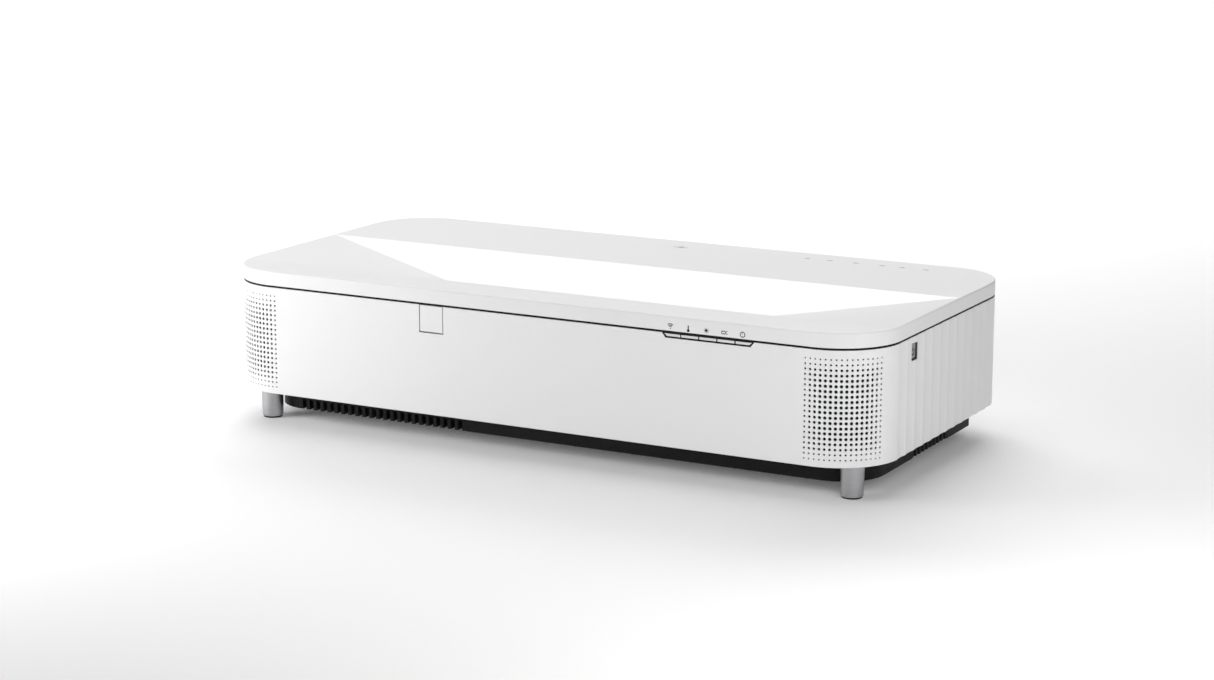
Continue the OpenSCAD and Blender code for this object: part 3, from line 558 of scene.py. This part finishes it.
def make_cover():
    """The white cover: a rounded skirt, a level rim, and a recess that falls towards the rim"""
    bm = bmesh.new()
    top = TOP_Z - PRINT
    skirt = cover_skirt(bm, top)
    hole, faces, rim_ends = cover_top(bm, skirt[-1], RIM_Y, top)
    inner_rim = RIM_Y - WALL
    inner_loop = cover_loop(WALL, inner_rim)
    inner_low = ring(bm, [(x, y, COVER_Z0) for x, y in inner_loop])
    inner_top = ring(bm, [(x, y, top - WALL - recess_fall(x, y, inner_rim)) for x, y in inner_loop])
    bridge(bm, skirt[0], inner_low)
    bridge(bm, inner_low, inner_top)
    inner_hole = cover_top(bm, inner_top, inner_rim, top - WALL)[0]
    bridge(bm, hole, inner_hole)
    for edge in {edge for face in faces for edge in face.edges}:
        if all(face in faces for face in edge.link_faces):
            edge.smooth = False
    rim_edge = [edge for edge in rim_ends[0].link_edges if edge.other_vert(rim_ends[0]) == rim_ends[1]]
    rim_edge[0].smooth = True
    bmesh.ops.bevel(bm, geom=rim_edge, offset=RIM_BEVEL, segments=4, profile=0.5, affect="EDGES",
                    clamp_overlap=True)
    return piece("cover_shell", bm, "top_cover", sharp=50)


def make_seam_lip():
    """The gasket's outer lip, which fills the gap between cover and housing nearly flush"""
    bm = bmesh.new()
    low, high = SEAM_Z + 0.05, COVER_Z0 - 0.05
    section = [(3, low), (0.6, low), (0.45, low + 0.3), (0.45, high - 0.3), (0.6, high), (3, high)]
    rings = [ring(bm, [(x, y, z) for x, y in cover_loop(inset, RIM_Y)]) for inset, z in section]
    for near, far in zip(rings, rings[1:] + rings[:1]):
        bridge(bm, near, far)
    return piece("seam_lip", bm, "seam_gasket", replaces=False)


# ---- Housing with its flutes and openings ----

def plain_x(y):
    """The unfluted right side, which runs into the corners"""
    beyond = max(0, abs(y) - CORNER_Y)
    return CORNER_X + math.sqrt(CORNER_R ** 2 - beyond ** 2)


def flute_cut(y, middle):
    """How deep the flute centred on middle cuts at y"""
    x = HALF_W + FLUTE_R - FLUTE_DEPTH - math.sqrt(FLUTE_R ** 2 - (y - middle) ** 2)
    return max(0, plain_x(y) - x)


def housing_stations():
    """Round the housing: plain outline (x, y), outward normal (x, y), and the flute's depth there"""
    rear_y = FLUTE_Y0 + (FLUTE_COUNT - 1) * FLUTE_PITCH + FLUTE_CHORD
    front_turn = math.degrees(math.asin((FLUTE_Y0 + CORNER_Y) / CORNER_R))
    rear_turn = math.degrees(math.asin((rear_y - CORNER_Y) / CORNER_R))
    right = [(CORNER_X + CORNER_R * x, -CORNER_Y + CORNER_R * y, x, y, 0)
             for x, y in circle(0, 0, 1, ARC_STEPS, -90, front_turn)[:-1]]
    for i in range(FLUTE_COUNT):
        start = FLUTE_Y0 + i * FLUTE_PITCH
        for k in range(FLUTE_STEPS + 1):
            y = start + FLUTE_CHORD * k / FLUTE_STEPS
            right.append((plain_x(y), y, 1, 0, flute_cut(y, start + FLUTE_CHORD / 2)))
    right += [(CORNER_X + CORNER_R * x, CORNER_Y + CORNER_R * y, x, y, 0)
              for x, y in circle(0, 0, 1, ARC_STEPS, rear_turn, 90)[1:]]
    return both_sides(right)


def inset_points(stations, inset, z, fluted=True):
    """The stations moved inwards; the normals of the left half are still those of the right"""
    points = []
    for x, y, nx, ny, cut in stations:
        depth = inset + (cut if fluted else 0)
        points.append((x - math.copysign(1, x) * depth * nx, y - depth * ny, z))
    return points


def housing_shell(bm):
    """The wall, with small rounded edges, and the flange under it"""
    stations = housing_stations()
    flange_z = HOUSING_Z0 + WALL
    # The outer face from its lower edge to its upper edge, each point as (inset, height)
    outer = [(0.8, HOUSING_Z0), (0.25, HOUSING_Z0 + 0.25), (0, HOUSING_Z0 + 0.8),
             (0, SEAM_Z - 0.2), (0.06, SEAM_Z - 0.06), (0.2, SEAM_Z)]
    rings = [ring(bm, inset_points(stations, inset, z)) for inset, z in outer]
    rings.append(ring(bm, inset_points(stations, WALL, SEAM_Z, False)))
    rings.append(ring(bm, inset_points(stations, WALL, flange_z, False)))
    flange = [(x * FLANGE_HALF_W / HALF_W, y * FLANGE_HALF_D / HALF_D) for x, y, *rest in stations]
    rings.append(ring(bm, [(x, y, flange_z) for x, y in flange]))
    rings.append(ring(bm, [(x, y, HOUSING_Z0) for x, y in flange]))
    for low, high in zip(rings, rings[1:] + rings[:1]):
        bridge(bm, low, high)


def housing_bosses():
    """Posts that stand on the flange, and the holes in them"""
    posts, holes = bmesh.new(), bmesh.new()
    kinds = ((FRONT_FEET, 9, 17, 6, 18), (REAR_FEET, 8, 12, 2.5, 10), (TUB_SCREWS, 4, 12, 1.5, 10))
    for places, post_r, height, bore_r, depth in kinds:
        for x, y in places:
            prism(posts, circle(x, y, post_r), HOUSING_Z0 + 1, HOUSING_Z0 + height, upright)
            prism(holes, circle(x, y, bore_r), HOUSING_Z0 - 1, HOUSING_Z0 + depth, upright)
    return posts, holes


def sector_outline():
    """Plan of the part of the right front corner that the speaker panel fills"""
    turn = (GRILLE_END / CORNER_R) - math.pi / 2
    reach = 15  # past the wall's outer face, both ways
    inner, outer = [(CORNER_X + r * math.cos(turn), -CORNER_Y + r * math.sin(turn))
                    for r in (CORNER_R - reach, CORNER_R + reach)]
    return [(GRILLE_X0, -HALF_D - 9), (HALF_W + 20, -HALF_D - 9), outer, inner,
            (CORNER_X + 20, -HALF_D + 22), (GRILLE_X0, -HALF_D + 12)]


def housing_openings():
    """What the door, lights, button, sockets and speaker panels take out of the wall"""
    cuts = bmesh.new()
    for side in (1, -1):
        points = [(side * x, y) for x, y in sector_outline()][::side]
        prism(cuts, points, GRILLE_Z0, GRILLE_Z1, upright)
    above = 150  # anywhere over the wall's upper edge
    lo, hi = box_of("focus_door")
    box(cuts, lo.x - DOOR_GAP, hi.x + DOOR_GAP, -HALF_D - 1, -HALF_D + 4, lo.z - 0.5, above)
    lo, hi = box_of("status_bezel")
    prism(cuts, [(lo.x - 0.1, above), (lo.x - 0.1, SEAM_Z), (lo.x + BEZEL_SLOPE, lo.z - 0.1),
                 (hi.x - BEZEL_SLOPE, lo.z - 0.1), (hi.x + 0.1, SEAM_Z), (hi.x + 0.1, above)],
          -HALF_D - 1, -HALF_D + 4, along_y)
    lo, hi = box_of("io_panel")
    box(cuts, lo.x - 0.2, hi.x + 0.2, HALF_D - 4, HALF_D + 1, lo.z - 0.2, hi.z + 0.2)
    lo, hi = box_of("power_button")
    pocket = round_rect(lo.y - BUTTON_GAP, hi.y + BUTTON_GAP, lo.z - BUTTON_GAP, hi.z + BUTTON_GAP, 1.2)
    prism(cuts, pocket, HALF_W - 4, HALF_W + 1, along_x)
    return cuts


def make_housing():
    """The white ring-shaped housing with its posts and openings"""
    bm = bmesh.new()
    housing_shell(bm)
    posts, holes = housing_bosses()
    bm = combine(bm, posts, "UNION")
    bm = combine(bm, holes, "DIFFERENCE")
    bm = combine(bm, housing_openings(), "DIFFERENCE")
    housing = piece("housing_shell", bm, "main_housing", sharp=35)
    mark_flute_edges(housing.data)
    return housing


def mark_flute_edges(mesh):
    """Keeps the edges between flutes crisp"""
    bm = bmesh.new()
    bm.from_mesh(mesh)
    for edge in bm.edges:
        a, b = (v.co for v in edge.verts)
        vertical = abs(a.x - b.x) < 1e-6 and abs(a.y - b.y) < 1e-6
        if vertical and len(edge.link_faces) == 2 and edge.calc_face_angle(0) > math.radians(4):
            edge.smooth = False
    bm.to_mesh(mesh)
    bm.free()


# ---- Speaker panels ----

def corner_point(s, z, depth):
    """A point on the right front corner: s runs along the wall from where the corner starts"""
    turn = max(0, s) / CORNER_R
    r = CORNER_R - depth
    return (CORNER_X + min(0, s) + r * math.sin(turn), -CORNER_Y - r * math.cos(turn), z)


def hole_r(column, row):
    """The holes grow from the edges of the pattern inwards, until they are full size"""
    from_side = min(column, PERF_COLUMNS - 1 - column)
    from_end = min(row, PERF_ROWS - 1 - row)
    return min((*PERF_SIDE_R, HOLE_R)[min(from_side, len(PERF_SIDE_R))],
               (*PERF_END_R, HOLE_R)[min(from_end, len(PERF_END_R))])


def to_cell_edge(x, y):
    """Where a ray from the middle of a square cell meets the cell's edge"""
    reach = 0.5 / max(abs(x), abs(y))
    return x * reach, y * reach


def perforated_cell(bm, s, z, r):
    """One cell of the panel with its hole, outer rounding and both faces"""
    turns = [2 * math.pi * k / HOLE_STEPS for k in range(HOLE_STEPS)]
    rays = [(math.cos(turn), math.sin(turn)) for turn in turns]
    square = [to_cell_edge(x, y) for x, y in rays]
    steps = [(square, PERF_PITCH, 0), (rays, r + 0.2, 0), (rays, r + 0.05, 0.06), (rays, r, 0.2),
             (rays, r, GRILLE_DEPTH), (square, PERF_PITCH, GRILLE_DEPTH)]
    rings = [ring(bm, [corner_point(s + size * x, z + size * y, depth) for x, y in outline])
             for outline, size, depth in steps]
    for low, high in zip(rings, rings[1:]):
        bridge(bm, low, high)


def panel_border(bm):
    """The strip round the perforated cells and the panel's four narrow sides"""
    half = PERF_PITCH / 2
    quarter = half * math.tan(math.pi / 8)
    s0 = PERF_X0 - CORNER_X
    steps = [-half, -quarter, 0, quarter]
    along = [s0 + c * PERF_PITCH + d for c in range(PERF_COLUMNS) for d in steps]
    along += [s0 + (PERF_COLUMNS - 1) * PERF_PITCH + half]
    up = [PERF_Z0 + r * PERF_PITCH + d for r in range(PERF_ROWS) for d in steps]
    up += [PERF_Z0 + (PERF_ROWS - 1) * PERF_PITCH + half]
    inner = ([(s, up[0]) for s in along[:-1]] + [(along[-1], z) for z in up[:-1]]
             + [(s, up[-1]) for s in along[:0:-1]] + [(along[0], z) for z in up[:0:-1]])
    to_side = {along[0]: GRILLE_X0 - CORNER_X, along[-1]: GRILLE_END}
    to_end = {up[0]: GRILLE_Z0, up[-1]: GRILLE_Z1}
    outer = [(to_side.get(s, s), to_end.get(z, z)) for s, z in inner]
    rings = [ring(bm, [corner_point(s, z, depth) for s, z in points])
             for points, depth in ((inner, 0), (outer, 0), (outer, GRILLE_DEPTH), (inner, GRILLE_DEPTH))]
    for low, high in zip(rings, rings[1:]):
        bridge(bm, low, high)


def make_speaker_panel(side):
    """The perforated panel that wraps round a front corner"""
    bm = bmesh.new()
    for column in range(PERF_COLUMNS):
        for row in range(PERF_ROWS):
            s = PERF_X0 - CORNER_X + column * PERF_PITCH
            perforated_cell(bm, s, PERF_Z0 + row * PERF_PITCH, hole_r(column, row))
    panel_border(bm)
    bmesh.ops.remove_doubles(bm, verts=bm.verts, dist=0.002)
    if side == "left":
        mirror(bm)
    return piece(f"speaker_panel_{side}", bm, f"speaker_grille_{side}", sharp=50)


def make_shaded_dust_screen(side):
    """A thin moulded mesh close behind the perforated panel; its black is partly painted shade, standing in
    for the shade inside the holes
    """
    bm = bmesh.new()
    count = 40
    low, high = GRILLE_X0 - CORNER_X + 0.5, GRILLE_END - 0.5
    along = [low + (high - low) * i / count for i in range(count + 1)]
    section = ([corner_point(s, 0, GRILLE_DEPTH + 0.1)[:2] for s in along]
               + [corner_point(s, 0, GRILLE_DEPTH + 0.5)[:2] for s in reversed(along)])
    prism(bm, section, GRILLE_Z0 + 0.5, GRILLE_Z1 - 0.5, upright)
    if side == "left":
        mirror(bm)
    # black_plastic here paints the shade inside the speaker holes onto the screen
    return piece(f"shaded_dust_screen_{side}", bm, f"speaker_grille_{side}", replaces=False, slot="black_plastic")


# ---- Door, feet, button and printed icons ----

def make_door():
    """The focus door: a flat panel with a barrel along its lower edge and a catch at its upper edge"""
    lo, hi = box_of("focus_door")
    barrel_r = 1.8
    pin_r = 0.85
    y0 = -HALF_D
    z_pin = lo.z + barrel_r
    section = [(y0, hi.z), (y0, z_pin)] + circle(y0 + barrel_r, z_pin, barrel_r, 16, 180, 360)[1:]
    section += [(y0 + 2 * barrel_r, z_pin + 0.6), (y0 + 2.5, z_pin + 2.4), (y0 + 2.5, hi.z)]
    bm = bmesh.new()
    prism(bm, section, lo.x + DOOR_INSET, hi.x - DOOR_INSET, along_x)
    ends = [e for e in bm.edges if len({round(v.co.x, 3) for v in e.verts}) == 1
            and min(v.co.y for v in e.verts) < y0 + barrel_r]
    bmesh.ops.bevel(bm, geom=ends, offset=0.35, segments=3, profile=0.5, affect="EDGES")
    catch = bmesh.new()
    box(catch, lo.x + 9, lo.x + 16.6, y0 + 2, y0 + 3.6, hi.z - 4, hi.z - 2.5)
    bm = combine(bm, catch, "UNION")
    pin = bmesh.new()
    prism(pin, circle(y0 + barrel_r, z_pin, pin_r, 24), lo.x - 1, hi.x + 1, along_x)
    bm = combine(bm, pin, "DIFFERENCE")
    return piece("door_panel", bm, "focus_door")


def make_door_gap_shade():
    """Thin black strips round the door's opening: painted shade, so that the gap round the door reads as a
    dark line
    """
    lo, hi = box_of("focus_door")
    front, back = -HALF_D + 0.08, -HALF_D + 0.9
    bm = bmesh.new()
    box(bm, lo.x - DOOR_GAP, lo.x - 0.1, front, back, lo.z - 0.2, hi.z)
    box(bm, hi.x + 0.1, hi.x + DOOR_GAP, front, back, lo.z - 0.2, hi.z)
    box(bm, lo.x - DOOR_GAP, hi.x + DOOR_GAP, front, back, lo.z - 0.5, lo.z - 0.25)
    # The black of these strips is painted shade in the gap round the door
    return piece("door_edging", bm, "main_housing", replaces=False, slot="black_plastic")


def make_foot(side):
    """A turned metal foot with a narrow bevel above its pad, and its threaded stud"""
    lo, hi = box_of(f"front_foot_{side}")
    x, y = (lo.x + hi.x) / 2, (lo.y + hi.y) / 2
    top = HOUSING_Z0 - 0.5
    stud_r = 4
    pitch = 0.8
    # Sole, bevel, tapered side and rounded top, each as (radius, height)
    profile = [(0.01, lo.z), (9.5, lo.z), (9.75, lo.z + 0.1), (10.3, lo.z + 0.75), (10.36, lo.z + 1.1),
               (10.96, top - 0.5), (10.9, top - 0.12), (10.6, top), (stud_r, top)]
    z = top + 1
    while z < hi.z - 2:
        profile += [(stud_r, z), (stud_r - 0.35, z + pitch / 2)]
        z += pitch
    profile += [(stud_r - 0.2, hi.z - 1.2), (stud_r - 1, hi.z), (0.01, hi.z)]
    bm = bmesh.new()
    lathe(bm, profile, x, y)
    return piece(f"turned_foot_{side}", bm, f"front_foot_{side}", sharp=25)


def make_foot_pad(side):
    """A rubber pad with a rounded edge and a ring groove in its sole"""
    lo, hi = box_of(f"foot_pad_{side}")
    x, y = (lo.x + hi.x) / 2, (lo.y + hi.y) / 2
    r = (hi.x - lo.x) / 2
    profile = [(0.01, 0.6), (4.6, 0.6), (5, 0), (r - 0.8, 0), (r - 0.25, 0.25), (r, 0.8),
               (r, hi.z - 0.01), (0.01, hi.z - 0.01)]
    bm = bmesh.new()
    lathe(bm, profile, x, y, 72)
    return piece(f"rubber_pad_{side}", bm, f"foot_pad_{side}", sharp=40)


def make_button():
    """The power button: a plate with rounded corners, and the plunger behind it"""
    lo, hi = box_of("power_button")
    bm = bmesh.new()
    face = hi.x - BUTTON_PRINT
    corner_r = 1.5
    plunger_r = 2.5
    y0, y1, z0, z1 = lo.y, hi.y, lo.z, hi.z
    rings = []
    for x, inset in ((hi.x - 3, 0), (face - 0.5, 0), (face - 0.15, 0.15), (face, 0.5)):
        outline = round_rect(y0 + inset, y1 - inset, z0 + inset, z1 - inset, corner_r - inset, 6)
        rings.append(ring(bm, [(x, y, z) for y, z in outline]))
    bm.faces.new(rings[0][::-1])
    bm.faces.new(rings[-1])
    for low, high in zip(rings, rings[1:]):
        bridge(bm, low, high)
    prism(bm, circle((y0 + y1) / 2, (z0 + z1) / 2, plunger_r), lo.x, hi.x - 3, along_x)
    return piece("power_button_plate", bm, "power_button")


def arc_band(x, y, r, width, start, end, steps=24):
    """Outline of part of a ring"""
    return circle(x, y, r + width / 2, steps, start, end) + circle(x, y, r - width / 2, steps, end, start)


def bar(x0, y0, x1, y1, width):
    """Outline of a straight stroke"""
    along = Vector((x1 - x0, y1 - y0)).normalized() * (width / 2)
    return [(x0 - along.y, y0 + along.x), (x1 - along.y, y1 + along.x), (x1 + along.y, y1 - along.x),
            (x0 + along.y, y0 - along.x)]


def glyph(name, strokes, place, node):
    """A printed icon: each stroke is an outline, a hair thick, that doesn't touch the others"""
    bm = bmesh.new()
    for points in strokes:
        prism(bm, points, 0, 1, place)
    return piece(name, bm, node, replaces=False, slot="icon_ink")


def on_button(u, v, w):
    """On the face of the power button"""
    return (box_of("power_button")[1].x - BUTTON_PRINT * (1 - w), u, v)


def on_skirt(u, v, w):
    """On the front of the cover's skirt"""
    return (u, -HALF_D + PRINT * (1 - w), v)


def on_top(u, v, w):
    """On the level parts of the cover"""
    return (u, v, TOP_Z - PRINT * (1 - w))


def make_power_icon():
    """A broken ring with an upright bar, as on any power button"""
    lo, hi = box_of("power_button")
    y, z = (lo.y + hi.y) / 2, (lo.z + hi.z) / 2
    line = 1.2
    strokes = [arc_band(y, z - 0.6, 2.9, line, 125, 415), bar(y, z - 0.2, y, z + 3.6, line)]
    glyph("power_icon", strokes, on_button, "power_button")


def split_ring(x, y, r, width):
    """A ring in two halves, so that each is one closed outline"""
    return [arc_band(x, y, r, width, 0, 178), arc_band(x, y, r, width, 182, 358)]


def radio_mark(x, z):
    """Three arcs over a dot, for the radio link"""
    arcs = [arc_band(x, z - 1.6, r, ICON_LINE, 50, 130, 12) for r in (1.6, 2.9, 4.2)]
    return arcs + [circle(x, z - 1.7, 0.5, 16)]


def heat_mark(x, z):
    """A bulb with a stem, for the temperature"""
    return [circle(x, z - 1.9, 1.35, 24), bar(x, z - 0.5, x, z + 2.8, 1.1)]


def light_mark(x, z):
    """A disc with eight rays, for the light source"""
    turns = [math.pi * k / 4 for k in range(8)]
    rays = [bar(x + 1.6 * math.cos(turn), z + 1.6 * math.sin(turn), x + 2.3 * math.cos(turn),
                z + 2.3 * math.sin(turn), 0.6) for turn in turns]
    return [circle(x, z, 1.3, 24)] + rays


def plug_mark(x, z):
    """A box with two prongs, for the mains"""
    left, right = x - 2.6, x + 1
    sides = [(left, z + 1.2, right, z + 1.2), (left, z - 1.2, right, z - 1.2),
             (left, z - 0.9, left, z + 0.9), (right, z - 0.9, right, z + 0.9)]
    prongs = [(left + 4.4, z + 0.7, left + 5.6, z + 1.4), (left + 4.4, z - 0.7, left + 5.6, z - 1.4)]
    return [bar(*ends, ICON_LINE) for ends in sides + prongs]


def timer_mark(x, z):
    """A dial with one hand, for the timer"""
    return split_ring(x, z, 2.3, ICON_LINE) + [bar(x, z - 0.2, x, z + 1.5, 0.45)]


def make_status_icons():
    """Five generic icons over the status lights"""
    lo, hi = box_of("status_bezel")
    pitch = (hi.x - lo.x - 2) / 5
    marks = {"radio": radio_mark, "heat": heat_mark, "light": light_mark, "plug": plug_mark,
             "timer": timer_mark}
    for i, (name, mark) in enumerate(marks.items()):
        x = lo.x + 1 + pitch * (i + 0.42)
        glyph(f"status_icon_{name}", mark(x, SEAM_Z + 6), on_skirt, "top_cover")


def socket_mark(x, y):
    """A small open box, for a socket on the rear"""
    half_w, half_h = 2.2, 0.8
    line = 0.5
    ends = [(x - half_w, y + half_h, x + half_w, y + half_h),
            (x - half_w, y - half_h, x + half_w, y - half_h),
            (x - half_w - 0.4, y - 0.5, x - half_w - 0.4, y + 0.5),
            (x + half_w + 0.4, y - 0.5, x + half_w + 0.4, y + 0.5)]
    return [bar(*pair, line) for pair in ends]


def make_rear_icons():
    """Small marks on the top near the rear edge, one for each socket below, and a remote-control mark"""
    for i, x in enumerate(PORT_XS):
        glyph(f"port_icon_{i + 1}", socket_mark(x, PORT_MARKS_Y), on_top, "top_cover")
    x, y = 4, 136
    line = 0.7
    strokes = split_ring(x, y, 3.2, line) + [circle(x, y, 1.1, 20)]
    strokes += [bar(x - 8, y - 0.4, x - 5, y - 0.4, line), bar(x + 5, y - 0.4, x + 8, y - 0.4, line)]
    glyph("remote_icon", strokes, on_top, "top_cover")


# ---- Carried-over CAD nodes ----

SOFTENED = {"base_tub": 0.5, "filter_drawer": 0.9, "exhaust_grille": 0.9, "rear_feet": 0.6,
            "rear_foot_pads": 0.5, "window_frame": 0.35, "exit_window": 0.3, "status_bezel": 0.15,
            "status_lenses": 0.12, "button_guide": 0.2, "io_panel": 0.3, "hdmi_sockets": 0.25,
            "usb_socket": 0.25, "audio_socket": 0.3, "ac_inlet": 0.5, "chassis_plate": 0.3}


def soften(node, width):
    """Rounds a CAD node's sharp edges with modifiers, which leave its own mesh alone"""
    weld = node.modifiers.new("weld", "WELD")
    weld.merge_threshold = 1e-6
    bevel = node.modifiers.new("bevel", "BEVEL")
    bevel.width = width * MM
    bevel.segments = 2
    bevel.limit_method = "ANGLE"
    bevel.angle_limit = math.radians(40)
    bevel.harden_normals = False
    even_normals(node)


def dress_nodes():
    """Gives every CAD node its slot's material, and rounds the edges that show"""
    for name, node in frame["nodes"].items():
        for place in node.material_slots:
            place.material = MATERIALS[SLOT_OF[name]]
        if name in SOFTENED:
            soften(node, SOFTENED[name])


# ---- Studio, in metres ----

BACK_TURN = 208.6  # degrees: where the cover mirrors the back panels towards the camera
CAMERA_TURN, CAMERA_RISE = 28.6055, 12.3777
CAMERA_TARGET = (-0.0063, -0.0024, 0.0843)
CAMERA_DISTANCE = 2.7032
CAMERA_LENS = 81.93


def make_floor():
    """A pale studio floor with a faint glow of its own, as paper over a light table has"""
    bm = bmesh.new()
    half = 9.0
    bm.faces.new(ring(bm, [(-half, -half, 0), (half, -half, 0), (half, half, 0), (-half, half, 0)]))
    floor = object_of("studio_floor", bm)
    paper = moulded_plastic("floor_paper", (0.93, 0.93, 0.93), 0.9, 300, 0.00005, 0.002,
                            Emission_Color=(1, 1, 1, 1), Emission_Strength=0.09)
    floor.data.materials.append(paper)


def make_world():
    """A faint even light from all round"""
    world = bpy.data.worlds.new("studio")
    bpy.context.scene.world = world
    world.use_nodes = True
    back = world.node_tree.nodes["Background"]
    back.inputs["Color"].default_value = (1, 1, 1, 1)
    back.inputs["Strength"].default_value = 0.01


def softbox(name, place, aim, size, power):
    """An area light of size (width, height) metres that faces aim"""
    data = bpy.data.lights.new(name, "AREA")
    data.shape = "RECTANGLE"
    data.size, data.size_y = size
    data.energy = power
    light = bpy.data.objects.new(name, data)
    light.location = place
    light.rotation_mode = "QUATERNION"
    light.rotation_quaternion = (Vector(aim) - Vector(place)).to_track_quat("-Z", "Y")
    bpy.context.scene.collection.objects.link(light)


def around(turn, rise, distance):
    """A place round the object: turn runs from the front to the right, rise up from the floor"""
    turn, rise = math.radians(turn), math.radians(rise)
    return (distance * math.sin(turn) * math.cos(rise), -distance * math.cos(turn) * math.cos(rise),
            distance * math.sin(rise) + 0.1)


def make_lights():
    """Panels behind the object, which the cover mirrors, one overhead, two keys and a floor wash"""
    middle = (0, 0, 0.1)
    for rise, distance, size, power in ((12, 2.8, (3, 0.3), 3.6), (28, 2.8, (3, 0.5), 5.5),
                                        (45, 2.6, (3, 0.8), 30)):
        softbox(f"back_panel_{rise}", around(BACK_TURN, rise, distance), middle, size, power)
    softbox("overhead", (0, 0, 2.2), middle, (2, 2), 19)
    softbox("key_left", (-0.9, -0.75, 0.32), (-0.25, -0.15, 0.08), (0.5, 0.4), 6.6)
    softbox("key_right", (0.75, -0.75, 0.35), (0.3, -0.1, 0.08), (0.4, 0.4), 1.9)
    softbox("side_right", (0.95, -0.45, 0.3), (0.33, -0.05, 0.08), (0.4, 0.4), 1.2)
    softbox("floor_wash", (-2.1, 3.9, 2.4), (-2.3, 4.3, 0), (5, 4), 150)


def make_camera():
    """Right of the front, a little above, on a longish lens"""
    turn, rise = math.radians(CAMERA_TURN), math.radians(CAMERA_RISE)
    back = Vector((math.sin(turn) * math.cos(rise), -math.cos(turn) * math.cos(rise), math.sin(rise)))
    data = bpy.data.cameras.new("camera")
    data.lens = CAMERA_LENS
    data.clip_start, data.clip_end = 0.05, 50
    camera = bpy.data.objects.new("camera", data)
    camera.location = Vector(CAMERA_TARGET) + back * CAMERA_DISTANCE
    camera.rotation_mode = "QUATERNION"
    camera.rotation_quaternion = (-back).to_track_quat("-Z", "Y")
    bpy.context.scene.collection.objects.link(camera)
    bpy.context.scene.camera = camera


# ---- The whole scene ----

MATERIALS = make_materials()
bpy.context.scene.view_settings.view_transform = "Standard"
dress_nodes()
make_cover()
make_seam_lip()
make_housing()
for side in ("left", "right"):
    make_speaker_panel(side)
    make_shaded_dust_screen(side)
    make_foot(side)
    make_foot_pad(side)
make_door()
make_door_gap_shade()
make_button()
make_power_icon()
make_status_icons()
make_rear_icons()
make_floor()
make_world()
make_lights()
make_camera()
